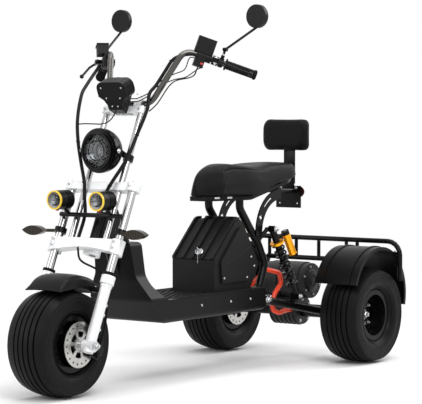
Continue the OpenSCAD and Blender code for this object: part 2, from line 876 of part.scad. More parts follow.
// Pointed lens of two arcs on a stalk from the fork
module turn_signals() {
  lens_r = (signal_len * signal_len + signal_h * signal_h) / (4 * signal_h);
  stalk_r = signal_t / 4;
  lens_mid = [at_back(signal_back), signal_reach - signal_len / 2, signal_z];
  ring_mid = fork_at(0, fork_y, ring_w + ring_h / 2);
  color(smoke) for (side = [-1, 1]) {
    translate([lens_mid[0] - signal_t / 2, side * lens_mid[1], lens_mid[2]]) rotate([90, 0, 90])
      linear_extrude(signal_t) intersection_for (s = [-1, 1])
        translate([0, s * (lens_r - signal_h / 2)]) circle(r = lens_r, $fn = 128);
    difference() {
      rod(mirrored(ring_mid, side), mirrored(lens_mid, side), stalk_r);
      on_fork() post([0, side * fork_y, 0], ring_r + seat_gap, mid_clamp_w);
    }
  }
}

// Handlebar and controls

bar_half = [
  [at_back(bar_root_back), bar_root_y, bar_root_z],
  [at_back(bar_corner_back), bar_corner_y, bar_corner_z],
  [at_back(bar_end_back), bar_end_y, bar_end_z]
];
bar_points = [for (i = [2:-1:0]) mirrored(bar_half[i], -1), for (p = bar_half) p];
bar_along = unit(bar_half[2] - bar_half[1]);
// Level direction forwards from the bar, and the one above both
bar_fore = unit(cross(bar_along, [0, 0, 1]));
bar_over = cross(bar_fore, bar_along);

// Point on the left upper stretch of the bar, so far in from its end
function bar_at(from_end) = bar_half[2] - bar_along * from_end;

// Children on the bar: X forwards, Y out along the bar, Z over it
module on_left_bar(from_end) {
  translate(bar_at(from_end)) rotate([0, 0, atan2(-bar_along[0], bar_along[1])])
    rotate([asin(bar_along[2]), 0, 0]) children();
}

module on_bar(from_end, side) {
  if (side > 0) on_left_bar(from_end) children();
  else
    mirror([0, 1, 0]) on_left_bar(from_end) children();
}

// Hole for the bar, in the frame of on_bar
module bar_hole(length) {
  y_bar([0, -length, 0], bar_r + seat_gap, 2 * length);
}

module handlebar() {
  color(chrome) bent_tube(bar_points, bar_r, bar_bend_r);
}

module grips() {
  flange_t = 6;
  flange_r = 1.3 * grip_r;
  color(rubber) for (side = [-1, 1]) on_bar(grip_len, side) difference() {
    along_y() {
      cylinder(r = grip_r, h = grip_len + flange_t);
      cylinder(r = flange_r, h = flange_t);
    }
    y_bar([0, -cut_over, 0], bar_r + seat_gap, grip_len + cut_over + seat_gap);
  }
}

// Sizes of a brake lever's clamp, blade and ball
perch_w = 24;
perch_r = 19;
perch_reach = 38;
lever_r = 5;
lever_ball_r = 9;
lever_bend_r = 30;
lever_bow_share = 0.35;
// Sizes of a mirror's clamp and stem
mirror_clamp_w = 18;
mirror_stem_r = 5;
mirror_stem_up = 55;
mirror_ball_r = 8;
mirror_at = grip_len + mirror_clamp_w;
perch_at = mirror_at + perch_w;
lever_tip = [at_back(lever_back), lever_y, lever_z];
lever_root = bar_at(perch_at) + bar_fore * perch_reach;

module brake_levers() {
  bow = mix(lever_root, lever_tip, lever_bow_share) + bar_fore * lever_ball_r;
  color(black) for (side = [-1, 1]) {
    on_bar(perch_at + perch_w / 2, side) difference() {
      union() {
        along_y() cylinder(r = perch_r, h = perch_w);
        block([0, 0, -lever_ball_r], [perch_reach + lever_ball_r, perch_w, 2 * lever_ball_r]);
      }
      bar_hole(2 * perch_w);
    }
    bent_tube([for (p = [lever_root, bow, lever_tip]) mirrored(p, side)], lever_r, lever_bend_r);
    translate(mirrored(lever_tip, side)) sphere(r = lever_ball_r);
  }
}

// Sizes of the switch sleeves, display box, switch block and fluid tank
sleeve_len = 62;
sleeve_r = 19;
sleeve_at = perch_at + perch_w / 2 + wire_r;
display = [36, 74, 62];
switches = [44, 40, 46];
fluid_tank = [44, 46, 40];

module switchgear() {
  color(charcoal) {
    on_bar(sleeve_at + sleeve_len, 1) difference() {
      union() {
        along_y() cylinder(r = sleeve_r, h = sleeve_len);
        block([-display[0] / 2, sleeve_len - display[1], bar_r], display);
        block([-switches[0] / 2, 0, -switches[2]], switches);
      }
      bar_hole(2 * sleeve_len);
    }
    on_bar(sleeve_at + sleeve_len, -1) difference() {
      union() {
        along_y() cylinder(r = sleeve_r, h = sleeve_len);
        block([0, 0, bar_r], fluid_tank);
        block([-sleeve_r, 0, -switches[2]], [switches[0], switches[1], switches[2]]);
      }
      bar_hole(2 * sleeve_len);
    }
  }
}

mirror_mid = [at_back(mirror_back), mirror_y, mirror_z];
glass_t = 3;
glass_share = 0.92;
// Share of the mirror's radius down to the stem's end
stem_share = 0.9;

module mirrors() {
  foot = bar_at(mirror_at);
  knee = foot + bar_over * mirror_stem_up;
  color(black) for (side = [-1, 1]) {
    on_bar(mirror_at + mirror_clamp_w / 2, side) difference() {
      union() {
        along_y() cylinder(r = perch_r, h = mirror_clamp_w);
        post([0, mirror_clamp_w / 2, bar_r], 0.4 * mirror_clamp_w, mirror_clamp_w);
      }
      bar_hole(2 * mirror_clamp_w);
    }
    rod(mirrored(foot + bar_over * perch_r, side), mirrored(knee, side), mirror_stem_r);
    y_bar(mirrored(knee, side) - [0, mirror_ball_r, 0], mirror_ball_r, 2 * mirror_ball_r);
    rod(mirrored(knee, side), mirrored(mirror_mid + [mirror_t / 2, 0, -stem_share * mirror_r], side),
      mirror_stem_r);
    translate(mirrored(mirror_mid, side)) along_x() difference() {
      cylinder(r = mirror_r, h = mirror_t);
      post([0, 0, -cut_over], glass_share * mirror_r + seat_gap, glass_t + cut_over);
    }
  }
}

module mirror_glass() {
  color(chrome) for (side = [-1, 1]) translate(mirrored(mirror_mid, side)) along_x()
    cylinder(r = glass_share * mirror_r, h = glass_t - seat_gap);
}

// Place, tilt and neck of the speedometer's pod
pod_back = 345;
pod_z = 1085;
pod_tilt = 21.2;
pod_neck = 36;
pod_corner_r = 30;
neck_d = 34;
neck_h = 30;
neck_w = 64;

// Shield-shaped front of the pod, standing on its neck
module pod_outline() {
  side_share = 0.34;
  taper_shares = [0.14, 0.66];
  rounded_rect([-pod_half_w, pod_h * side_share], [pod_half_w, pod_h], pod_corner_r);
  polygon([
    [-pod_neck, pod_h * taper_shares[0]], [pod_neck, pod_h * taper_shares[0]],
    [pod_half_w, pod_h * taper_shares[1]], [-pod_half_w, pod_h * taper_shares[1]]
  ]);
  flat([-pod_neck, 0], [2 * pod_neck, pod_h / 2]);
}

module speedometer() {
  color(black) {
    translate([at_back(pod_back), 0, pod_z]) rotate([0, pod_tilt, 0]) rotate([90, 0, 90])
      translate([0, 0, -pod_d]) linear_extrude(pod_d) pod_outline();
    on_fork()
      block([yoke_end_r + seat_gap, -neck_w / 2, top_yoke_w - neck_h / 4], [neck_d, neck_w, neck_h]);
  }
}

// Routes of the cables, as shares of headlight_r, fork_y and top_yoke_w
left_bundle_shares = [
  [-0.23, 0.97, 1.251], [-0.14, 0.733, 1.137], [0.09, 0.707, 1.089], [0.115, 0.787, 1.02], [0.18, 0.72,
  0.898],
  [0.345, 0.69, 0.786], [0.44, 0.427, 0.662], [0.39, 0.347, 0.62], [0.07, 0.307, 0.549], [0.115, 0.28,
  0.4423]
];
right_bundle_shares = [
  [-0.972, -1.812, 1.269], [0.483, -1.3, 1.111], [1.046, -1.067, 1.041], [1.218, -0.867, 0.923],
  [1.0, -0.747, 0.833], [0.62, -0.653, 0.757], [0.414, -0.453, 0.675], [0.345, -0.36, 0.62],
  [0.07, -0.307, 0.549], [0.115, -0.28, 0.4423]
];
left_lead_shares = [
  [-0.984, 1.515, 1.254], [-1.02, 1.433, 1.215], [-0.425, 1.12, 1.161], [-0.13, 0.933, 1.05], [0.09,
  0.86, 1.008]
];
hose_shares = [
  [0.138, -0.2, 0.402], [0, -0.067, 0.353], [-0.345, 0.4, 0.327], [-0.6, 0.787, 0.285], [-0.667, 0.88,
  0.19],
  [-0.92, 0.867, 0.1055], [-0.9655, 0.853, 0.0366]
];
bundle_r = 7;
lead_r = 2.5;
hose_r = 4;
cable_bend_r = 28;

function fork_route(shares) = [for (s = shares) fork_at(s[0] * headlight_r, s[1] * fork_y,
  s[2] * top_yoke_w)];

module cables() {
  color(black) {
    bent_tube(fork_route(left_bundle_shares), bundle_r, cable_bend_r, 10);
    bent_tube(fork_route(right_bundle_shares), bundle_r, cable_bend_r, 10);
    bent_tube(fork_route(left_lead_shares), lead_r, cable_bend_r, 8);
    bent_tube(fork_route(hose_shares), hose_r, cable_bend_r, 10);
  }
}

// Frame and body

head_low = low_clamp_w + low_clamp_h + move_gap;
head_high = mid_clamp_w - move_gap;
neck_r = 1.3 * frame_r;
neck_from = fork_at(-stem_back, 0, (head_low + head_high) / 2);
// Back of the leg shield's middle at its top, and its thickness there
shield_mid_back = 354;
shield_t = 72;
neck_to = [at_back(shield_mid_back), 0, shield_top_z - 2 * shield_t];
gusset_half_w = 40;
// Top of a seat tube, reach of its bend and height of its foot
tube_top_back = 1066;
tube_top_z = seat_z - pan_t - 2 * seat_gap;
tube_reach = 184;
tube_foot_z = 320.5;
// Points down a seat tube, as shares of that reach and height
tube_shares = [[0, 1, 0], [0, 0.91, 0], [0.75, 0.496, 0], [1, 0.284, 0], [0.76, 0, 0]];
seat_tube_bend_r = 45;
seat_tube = [
  for (r = spread(tube_shares, [tube_top_back, tube_foot_z], [tube_reach, tube_top_z - tube_foot_z]))
    [at_back(r[0]), frame_y, r[1]],
  [at_back(floor_back + seat_gap), frame_y, tube_foot_z]
];
// Back and height of the swingarm's pivot, and half its width
pivot_back = 1190;
pivot_z = 284;
pivot_half_w = 130;
pivot_r = 17;
pivot_lug_t = 10;
// Back and height of a shock's upper eye
shock_top_back = 1234;
shock_top_z = 580;
shock_top_y = 130;
eye_r = 14;
eye_w = 26;
stud_r = 7;

module neck_tube(gap) {
  rod(neck_from, neck_to, neck_r + gap);
}

module main_frame() {
  strut_share = 0.92;
  strut_r = 9;
  stud_from = frame_y + frame_r;
  color(black) difference() {
    union() {
      on_fork() post([-stem_back, 0, head_low], head_r, head_high - head_low);
      neck_tube(0);
      across(gusset_half_w) neck_gusset();
    }
    on_fork()
      post([-stem_back, 0, head_low - cut_over], stem_r + run_gap, head_high - head_low + 2 * cut_over);
  }
  color(black) for (side = [-1, 1]) {
    bent_tube([for (p = seat_tube) mirrored(p, side)], frame_r, seat_tube_bend_r);
    rod(mirrored(mix(seat_tube[1], seat_tube[2], strut_share), side),
      [at_back(shock_top_back), side * (stud_from + strut_r), shock_top_z], strut_r);
    translate([at_back(shock_top_back), side * stud_from, shock_top_z]) along_y(side)
      cylinder(r = stud_r, h = shock_top_y + eye_w / 2 + stud_r - stud_from);
    pivot_lug(side);
  }
}

// Gusset from the head tube to the leg shield, seen from the side
module neck_gusset() {
  low = fork_at(-stem_back - head_r / 2, 0, head_low + head_r);
  high = fork_at(-stem_back - head_r / 2, 0, head_high - head_r);
  foot_z = shield_top_z + seat_gap;
  polygon([
    [low[0], low[2]], [high[0], high[2]],
    [at_back(shield_mid_back + shield_t / 3), foot_z], [at_back(shield_mid_back - shield_t / 3), foot_z]
  ]);
}

// Plate behind the floor that holds an end of the swingarm's pivot
module pivot_lug(side) {
  lug_len = pivot_back + pivot_r - floor_back;
  translate([at_back(floor_back + lug_len + seat_gap),
    side * (pivot_half_w + seat_gap + pivot_lug_t / 2) - pivot_lug_t / 2,
    pivot_z - pivot_r])
    cube([lug_len, pivot_lug_t, 2 * pivot_r]);
}

// Outline points with each corner rounded: rows of x, y, corner radius
function rounded_outline(rows) =
  let (n = len(rows), p = [for (r = rows) [r[0], r[1]]])
  [for (i = [0:n - 1]) each corner_arc(p[(i + n - 1) % n], p[i], p[(i + 1) % n], rows[i][2])];

// Back of the leg shield's front, its height, and the body's size
shield_back = 318;
shield_h = shield_top_z - floor_z;
body_size = [floor_back - shield_back, shield_h];
// Shares of that size to the underside and to the well between the rails
low_share = -floor_d / shield_h;
well_share = -well_d / shield_h;
well_top_share = 1 - rail_w / shield_h;
well_back_share = 1 - rail_w / body_size[0];
// Rows round the body seen from the side
body_shares = [
  [0, 1, 0.05], [0.028, 0.353, 0.26], [0.0685, 0.01, 0.26], [0.174, low_share, 0.17], [1, low_share, 0.086],
  [1, 0, 0.034], [0.183, 0, 0.26], [0.106, 0.267, 0.26], [0.0865, 1, 0.05]
];
// The same for the well between the rails
well_shares = [
  [0.077, well_top_share, 0.026], [0.096, 0.276, 0.26], [0.173, well_share, 0.26],
  [well_back_share, well_share, 0.026], [well_back_share, well_top_share, 0.026]
];
// Rows up the body seen from the front
front_shares = [
  [1, low_share, 0.086], [1, -well_share, 0.13], [0.645, 0.44, 0.26], [shield_half_w / floor_half_w, 1,
  0.086]
];

// Body seen from the side, drawn in X and Z
module side_outline(rows) {
  polygon(rounded_outline([for (r = rows) [at_back(r[0]), r[1], r[2]]]));
}

// Body seen from the front, its edges drawn in by inset
module front_outline(inset) {
  rows = spread(front_shares, [0, floor_z], [floor_half_w, shield_h]);
  left = [for (r = rows) [r[0] - inset, r[1], r[2]]];
  right = [for (i = [len(left) - 1:-1:0]) [-left[i][0], left[i][1], left[i][2]]];
  polygon(rounded_outline(concat(left, right)));
}

// Children drawn in X and Z, given a width across the scooter
module across(half_w) {
  translate([0, half_w, 0]) rotate([90, 0, 0]) linear_extrude(2 * half_w) children();
}

// Children drawn in Y and Z, run along the body
module along_body() {
  translate([at_back(floor_back + rail_w), 0, 0]) rotate([90, 0, 90]) linear_extrude(floor_back)
    children();
}

module floor_body() {
  color(black) difference() {
    intersection() {
      across(floor_half_w) side_outline(spread(body_shares, [shield_back, floor_z], body_size));
      along_body() front_outline(0);
    }
    intersection() {
      across(floor_half_w) side_outline(spread(well_shares, [shield_back, floor_z], body_size));
      along_body() front_outline(rail_w);
    }
    neck_tube(seat_gap);
  }
}

module floor_mat() {
  corner_r = 12;
  front = 510;
  color(rubber)
    translate([at_back((front + box_front_back - corner_r) / 2), 0, floor_z - well_d + seat_gap])
      rounded_block([box_front_back - corner_r - front, 2 * (floor_half_w - rail_w) - corner_r, mat_t],
        corner_r);
}

// Length and height of the box over the well
box_low_z = floor_z - well_d + seat_gap;
box_size = [box_rear_back - box_front_back, box_top_z - box_low_z];
// Rows round the box seen from the side
shoulder_share = (box_shoulder_z - box_low_z) / box_size[1];
bend_share = (box_bend_back - box_front_back) / box_size[0];
top_share = (box_top_back - box_front_back) / box_size[0];
box_shares = [
  [0, 0, 0.02], [0, shoulder_share, 0.05], [bend_share, 1, 0.1], [top_share, 1, 0.02], [1, 0.366, 0.05],
  [0.786, 0, 0.07]
];
// The raised panel on its sides
panel_shares = [
  [0.126, 0.144, 0.04], [0.107, 0.452, 0.05], [0.522, 0.911, 0.05], [0.6, 0.911, 0.02], [0.906, 0.376,
  0.05],
  [0.742, 0.144, 0.055]
];
box_in_half_w = box_half_w - box_t;
// Back, height and radius of the lid's hinge
hinge_r = 4;
knuckle_r = 8;
hinge_back = box_top_back;
hinge_x = at_back(hinge_back);
hinge_z = box_top_z + 1.125 * knuckle_r;
hinge_half_w = 70;
lug_w = 9;
lid_gap = 0.4;
lid_bend_r = 30;

module battery_box() {
  hollow_from = [box_front_back + box_t, box_low_z + box_t];
  hollow_size = box_size - [2 * box_t, 2 * box_t];
  color(charcoal) {
    difference() {
      union() {
        across(box_half_w) side_outline(spread(box_shares, [box_front_back, box_low_z], box_size));
        across(box_half_w + panel_t)
          side_outline(spread(panel_shares, [box_front_back, box_low_z], box_size));
      }
      across(box_in_half_w) side_outline(spread(box_shares, hollow_from, hollow_size));
      on_slope() block([4 * box_t, -box_in_half_w + box_t, -slope_len / 4],
        [slope_len - 8 * box_t, 2 * (box_in_half_w - box_t), slope_len / 2]);
    }
    y_bar([hinge_x, -hinge_half_w - lug_w, hinge_z], hinge_r, 2 * (hinge_half_w + lug_w));
    for (side = [-1, 1])
      translate([hinge_x, side * (hinge_half_w + lug_w / 2) - lug_w / 2, 0]) {
        y_bar([0, 0, hinge_z], knuckle_r, lug_w);
        block([-knuckle_r / 2, 0, box_top_z - box_t], [knuckle_r, lug_w, hinge_z - box_top_z + box_t]);
      }
  }
}

slope_run = [box_bend_back - box_front_back, box_top_z - box_shoulder_z];
slope_len = norm(slope_run);

// Children on the lid's slope: X from its lower edge up, Z out of the slope
module on_slope() {
  translate([at_back(box_front_back), 0, box_shoulder_z])
    rotate([0, atan2(slope_run[1], slope_run[0]), 0]) rotate([0, 0, 180]) children();
}

// Path of the lid seen from the side, lifted off the box by lift
function lid_path(lift) =
  let (
    slope_out = unit([slope_run[1], slope_run[0]]),
    corner_out = (slope_out + [0, 1]) / (1 + slope_out[1]),
    foot = [at_back(box_front_back), box_shoulder_z],
    bend = [at_back(box_bend_back), box_top_z],
    end = [at_back(hinge_back - knuckle_r / 2), box_top_z]
  )
  bent_path([foot + slope_out * lift, bend + corner_out * lift, end + [0, lift]], lid_bend_r + lift);

// Band between two lifts
module lid_band(from, to) {
  outer = lid_path(to);
  inner = lid_path(from);
  polygon(concat(outer, [for (i = [len(inner) - 1:-1:0]) inner[i]]));
}

// Ribbed cover over the front slope, hinged behind its top
module battery_lid() {
  rib_w = 2 * box_t;
  pitch = (2 * box_half_w - 4 * box_t) / (lid_ribs - 1);
  color(black) difference() {
    union() {
      across(box_half_w) lid_band(lid_gap, lid_gap + lid_t);
      for (i = [0:lid_ribs - 1])
        translate([0, i * pitch - box_half_w + 2 * box_t, 0]) across(rib_w / 2)
          lid_band(lid_gap + lid_t / 2, lid_gap + lid_t + rib_h);
      y_bar([hinge_x, -hinge_half_w + lid_gap, hinge_z], knuckle_r,
        2 * (hinge_half_w - lid_gap));
    }
    y_bar([hinge_x, -2 * box_half_w, hinge_z], hinge_r + run_gap, 4 * box_half_w);
    for (side = [-1, 1])
      y_bar([hinge_x, side * (hinge_half_w + 2 * box_half_w) - 2 * box_half_w, hinge_z],
        knuckle_r + move_gap / 2, 4 * box_half_w);
  }
}

module battery() {
  length = 210;
  mid_back = 975;
  size = [length, 2 * (box_in_half_w - box_t), box_shoulder_z - floor_z - 2 * box_t];
  color(charcoal) translate([at_back(mid_back), 0, box_low_z + box_t + seat_gap]) rounded_block(size, box_t);
}

// Seat

// Middle, mean radius, width and angles of the bracket's curve
arch_back = 1337;
arch_z = 565;
arch_mid_r = 159;
arch_w = 44;
arch_from = -4;
arch_to = 92;
bracket_t = 6;
bracket_y = frame_y + frame_r + seat_gap;
cross_r = 12;
cross_back = 1330;
cross_z = 742.2;

// Curved plate beside each seat tube, with the tube across their tops
module seat_brackets() {
  slot_w = 10;
  cross_at = 24;
  slot_angles = [42, 66];
  color(black) {
    for (side = [-1, 1])
      translate([at_back(arch_back), side * (bracket_y + bracket_t / 2), arch_z]) rotate([90, 0, 0])
        difference() {
          rotate([0, 0, arch_from]) rotate_extrude(angle = arch_to - arch_from, $fn = 96)
            flat([arch_mid_r - arch_w / 2, -bracket_t / 2], [arch_w, bracket_t]);
          rotate([0, 0, cross_at]) translate([arch_mid_r, 0, -bracket_t]) for (turn = [0, 90])
            rotate([0, 0, turn])
              block([-1.2 * slot_w, -slot_w / 2, 0], [2.4 * slot_w, slot_w, 2 * bracket_t]);
          rotate([0, 0, slot_angles[0]]) rotate_extrude(angle = slot_angles[1] - slot_angles[0])
            flat([arch_mid_r - slot_w / 2, -bracket_t], [slot_w, 2 * bracket_t]);
        }
    y_bar([at_back(cross_back), -bracket_y - bracket_t, cross_z], cross_r, 2 * (bracket_y + bracket_t));
  }
}

seat_top_z = seat_z + seat_h;
seat_len = seat_tail_back - seat_nose_back;
// Rows round the seat seen from the side, ending at its underside's bend
seat_shares = [
  [0, 0.05, 0.11], [0.108, 0.95, 0.54], [0.43, 0.84, 1.57], [0.66, 0.975, 1.57], [1, 1, 0.17],
  [1, tail_rise / seat_h, 0.11], [0.438, 0, 0.94]
];
seat_rows = spread(seat_shares, [seat_nose_back, seat_z], [seat_len, seat_h]);
// Rows along its left edge seen from above
plan_shares = [[0, 0.2, 0.22], [0.184, 0.62, 2.36], [0.438, 1, 2.36], [0.883, 1, 0.47], [1, 0.75, 0.23]];
seat_round_r = 34;

// Upright prism of the seat seen from above, its width scaled by share
module seat_plan(share) {
  rows = spread(plan_shares, [seat_nose_back, 0], [seat_len, seat_half_w]);
  left = [for (r = rows) [at_back(r[0]), share * r[1], r[2]]];
  right = [for (i = [len(left) - 1:-1:0]) [left[i][0], -left[i][1], left[i][2]]];
  translate([0, 0, seat_z - seat_h]) linear_extrude(3 * seat_h)
    polygon(rounded_outline(concat(left, right)));
}

module seat() {
  color(charcoal) intersection() {
    across(seat_half_w) side_outline(seat_rows);
    seat_plan(1);
    translate([at_back(seat_tail_back), 0, 0]) rotate([90, 0, 90])
      linear_extrude(seat_tail_back - seat_nose_back)
        rounded_rect([-seat_half_w, seat_z - seat_h], [seat_half_w, seat_top_z], seat_round_r);
  }
}

// Pan under the seat, following its underside to the tail
module seat_pan() {
  width_share = 0.84;
  front = seat_nose_back + 3 * pan_t;
  rear = seat_tail_back - 1.6 * pan_t;
  bend = seat_rows[6];
  edge_r = pan_t / 3;
  rear_z = seat_z + (rear - bend[0]) * tail_rise / (seat_tail_back - bend[0]);
  color(black) difference() {
    intersection() {
      across(seat_half_w) side_outline([
        [front, seat_z - pan_t, edge_r], [front, seat_z + pan_t, edge_r], [rear, rear_z + 2 * pan_t,
          edge_r],
        [rear, rear_z - pan_t, edge_r], [bend[0], seat_z - pan_t, bend[2]]
      ]);
      seat_plan(width_share);
    }
    across(2 * seat_half_w) side_outline([for (r = seat_rows) [r[0], r[1] - seat_gap, r[2]]]);
  }
}

// Back of the backrest's post, on the rear of the tail plate
tail_plate_t = 6;
plate_back = tail_back + tail_plate_t;
post_t = 8;
post_half_w = 29;
pad_round_r = 18;

// Padded backrest on a flat post
module backrest() {
  post_from = 760;
  post_to = 985;
  color(black) {
    translate([at_back(tail_back + tail_plate_t + post_t / 4), -backrest_half_w, backrest_z])
      rotate([90, 0, 90]) linear_extrude(backrest_t)
        rounded_rect([0, 0], [2 * backrest_half_w, backrest_h], 2 * pad_round_r);
    block([at_back(plate_back + seat_gap + post_t), -post_half_w, post_from],
      [post_t, 2 * post_half_w, post_to - post_from]);
  }
}

// Heights of the tail plate
tail_low_z = 655;
tail_mid_z = 752;
tail_top_z = 806;
tail_half_w = 64;
tail_hole_z = 675;
tail_arm_z = 730;

// Plate behind the tail on two arms from the cross tube, with two bolt holes
module tail_bracket() {
  arm_r = 9;
  arm_y = 34;
  color(black) difference() {
    union() {
      translate([at_back(plate_back), 0, 0]) rotate([90, 0, 90])
        linear_extrude(tail_plate_t) {
          flat([-tail_half_w, tail_low_z], [2 * tail_half_w, tail_mid_z - tail_low_z]);
          flat([-post_half_w, tail_low_z], [2 * post_half_w, tail_top_z - tail_low_z]);
        }
      for (side = [-1, 1]) rod([at_back(cross_back), side * arm_y, cross_z],
        [at_back(tail_back + tail_plate_t / 2), side * arm_y, tail_arm_z],
        arm_r);
    }
    y_bar([at_back(cross_back), -tail_half_w, cross_z], cross_r + seat_gap, 2 * tail_half_w);
    for (side = [-1, 1])
      translate([at_back(tail_back + 2 * tail_plate_t), side * tail_hole_step / 2, tail_hole_z])
        along_x() cylinder(r = tail_hole_r, h = 3 * tail_plate_t);
  }
}

lamp_r = 22;
lamp_half_w = 56;
lamp_z = 726;

// Long lamp with round ends on the rear of the tail plate
module tail_lamp() {
  mid = [at_back(plate_back + seat_gap), 0, lamp_z];
  color(smoke) intersection() {
    translate(mid) {
      y_bar([0, -lamp_half_w, 0], lamp_r, 2 * lamp_half_w);
      for (side = [-1, 1]) translate([0, side * lamp_half_w, 0]) sphere(r = lamp_r);
    }
    block(mid - [2 * lamp_r, 2 * lamp_half_w, lamp_r], [2 * lamp_r, 4 * lamp_half_w, 2 * lamp_r]);
  }
}

// Rear end

tube_end_y = wheel_y + rear_disc_z - pad_gap;
shock_low_back = 1375;
shock_low_z = 286;
shock_low_y = 160;
shock_top = [at_back(shock_top_back), shock_top_y, shock_top_z];
shock_low = [at_back(shock_low_back), shock_low_y, shock_low_z];
arm_end_y = 205;
swing_arm = [
  [at_back(pivot_back), pivot_half_w - 2 * pivot_r, pivot_z],
  [rear_axle_x + housing_r / 2, arm_end_y, tyre_r]
];

// Pivot tube, two arms and the axle's tubes
module swingarm() {
  clevis_t = 8;
  clevis_w = 30;
  clevis_y = shock_low_y - eye_w / 2 - seat_gap;
  clevis_low = 238;
  color(black) {
    difference() {
      union() {
        for (side = [-1, 1]) {
          translate([rear_axle_x, side * (gear_half_len + seat_gap), tyre_r]) along_y(side)
            cylinder(r = housing_r, h = tube_end_y - gear_half_len);
          rod(mirrored(swing_arm[0], side), mirrored(swing_arm[1], side), pivot_r);
          block([shock_low[0] - clevis_w / 2, side * (clevis_y - clevis_t / 2) - clevis_t / 2,
            clevis_low], [clevis_w, clevis_t, shock_low_z + clevis_w / 2 - clevis_low]);
          translate([shock_low[0], side * (clevis_y - clevis_t), shock_low_z]) along_y(side)
            cylinder(r = stud_r, h = eye_w + 2 * clevis_t);
        }
        y_bar([at_back(pivot_back), -pivot_half_w, pivot_z], pivot_r, 2 * pivot_half_w);
      }
      for (side = [-1, 1]) on_wheel(side)
        post([0, 0, rear_disc_z - shaft_len - cut_over], shaft_r + run_gap, shaft_len);
    }
  }
}

// Motor drum over the gear case, one plain block for the drive
module drive_unit() {
  motor_back = 1575;
  band_share = 0.94;
  fins = 6;
  fin_t = 6;
  fin_pitch = 2 * gear_half_len / fins;
  color(black) {
    translate([at_back(motor_back), -motor_half_len, motor_z]) along_y() rotate_extrude($fn = 72)
      union() {
        square([band_share * motor_r, 2 * motor_half_len]);
        flat([0, motor_half_len / 4], [motor_r, motor_half_len / 2]);
        flat([0, motor_half_len], [motor_r, 3 / 4 * motor_half_len]);
      }
    translate([rear_axle_x, -gear_half_len, tyre_r]) along_y() rotate_extrude($fn = 72) union() {
      square([band_share * gear_r, 2 * gear_half_len]);
      for (i = [0:fins - 1]) flat([0, i * fin_pitch + fin_t / 2], [gear_r, fin_t]);
    }
  }
}

// Calipers in front of the rear discs, on plates round the axle's tubes
module rear_calipers() {
  wall = caliper_t + 1 / 4 * caliper_t;
  disc_mid_y = wheel_y + rear_disc_z + disc_t / 2;
  half_slot = disc_t / 2 + pad_gap;
  far = disc_r + pad_gap + wall;
  color(black) for (turn = [0, 180])
    translate([rear_axle_x, turn > 0 ? -disc_mid_y : disc_mid_y, tyre_r]) rotate([turn, 0, 0])
      difference() {
        union() {
          block([far - caliper_len, -half_slot - wall, -caliper_h / 2],
            [caliper_len, 2 * half_slot + wall + wall / 2, caliper_h]);
          block([0, -half_slot - wall, -caliper_h / 2], [far, wall, caliper_h]);
        }
        block([-disc_r, -half_slot, -caliper_h], [2 * disc_r + pad_gap, 2 * half_slot, 2 * caliper_h]);
        y_bar([0, -2 * housing_r, 0], housing_r + seat_gap, 4 * housing_r);
      }
}

// Children on a shock's line: Z from its lower eye to its upper one
module on_shock(side) {
  low = mirrored(shock_low, side);
  run = mirrored(shock_top, side) - low;
  translate(low) rotate([0, acos(run[2] / norm(run)), atan2(run[1], run[0])]) children();
}

shock_len = norm(shock_top - shock_low);
damper_r = 15;
rod_r = 8;
seat_t = 6;
spring_from = 0.2 * shock_len;
spring_to = 0.78 * shock_len;
collar_t = 10;
// Place of a reservoir beside the damper
reservoir_off = 62;
reservoir_from = 0.53 * shock_len;
reservoir_to = 0.845 * shock_len;
reservoir_cap = 16;

// Damper, eyes, spring seats and the black bridge to the reservoir
module shock_bodies() {
  color(black) for (side = [-1, 1]) difference() {
    union() {
      on_shock(side) {
        cylinder(r = rod_r, h = shock_len);
        post([0, 0, shock_len / 2], damper_r, shock_len / 2);
        post([0, 0, spring_from - seat_t], spring_r, seat_t);
        translate([0, 0, reservoir_to]) rotate([0, -90, 0])
          cylinder(r = reservoir_cap / 2, h = reservoir_off);
        post([-reservoir_off, 0, reservoir_to - reservoir_cap / 2], reservoir_r, reservoir_cap);
      }
      for (p = [shock_low, shock_top]) y_bar([p[0], side * p[1] - eye_w / 2, p[2]], eye_r, eye_w);
    }
    for (p = [shock_low, shock_top])
      y_bar([p[0], side * p[1] - eye_w, p[2]], stud_r + seat_gap, 2 * eye_w);
  }
}

module shock_springs() {
  steps = 12;
  coil_r = spring_r - wire_r;
  rise = spring_to - spring_from - 2 * wire_r - 2 * seat_gap;
  color(black) for (side = [-1, 1]) on_shock(side)
    translate([0, 0, spring_from + wire_r + seat_gap])
      swept_tube([for (i = [0:spring_turns * steps])
              let (turn = i / steps)
                [coil_r * cos(360 * turn), coil_r * sin(360 * turn), rise * turn / spring_turns]], wire_r, 6);
}

module shock_reservoirs() {
  color(gold) for (side = [-1, 1]) on_shock(side) {
    post([-reservoir_off, 0, reservoir_from], reservoir_r,
      reservoir_to - reservoir_cap / 2 - reservoir_from - seat_gap);
    translate([0, 0, spring_to]) difference() {
      cylinder(r = spring_r + wire_r / 2, h = collar_t);
      post([0, 0, -cut_over], damper_r + seat_gap, collar_t + 2 * cut_over);
    }
  }
}

// Path of the power cable, as shares of its length, frame_y and motor_z
conduit_len = 344;
conduit_shares = [
  [0, 0.375, 0.952], [0.13, 0.375, 0.952], [0.26, 0.425, 1.048], [0.407, 0.775, 1.196], [0.567, 1.16,
  1.146],
  [0.604, 1.16, 1.012], [0.471, 1.15, 0.893], [0.401, 1.13, 0.78], [0.442, 1.13, 0.673], [0.567, 1.15,
  0.631],
  [0.727, 1.1, 0.649], [1, 0.625, 0.625]
];
conduit_r = 10;
conduit_bend_r = 20;

module cable_conduits() {
  color(orange) bent_tube(
    [for (s = conduit_shares)
        [at_back(floor_back + seat_gap + s[0] * conduit_len), s[1] * frame_y, s[2] * motor_z]],
    conduit_r, conduit_bend_r, 10);
}

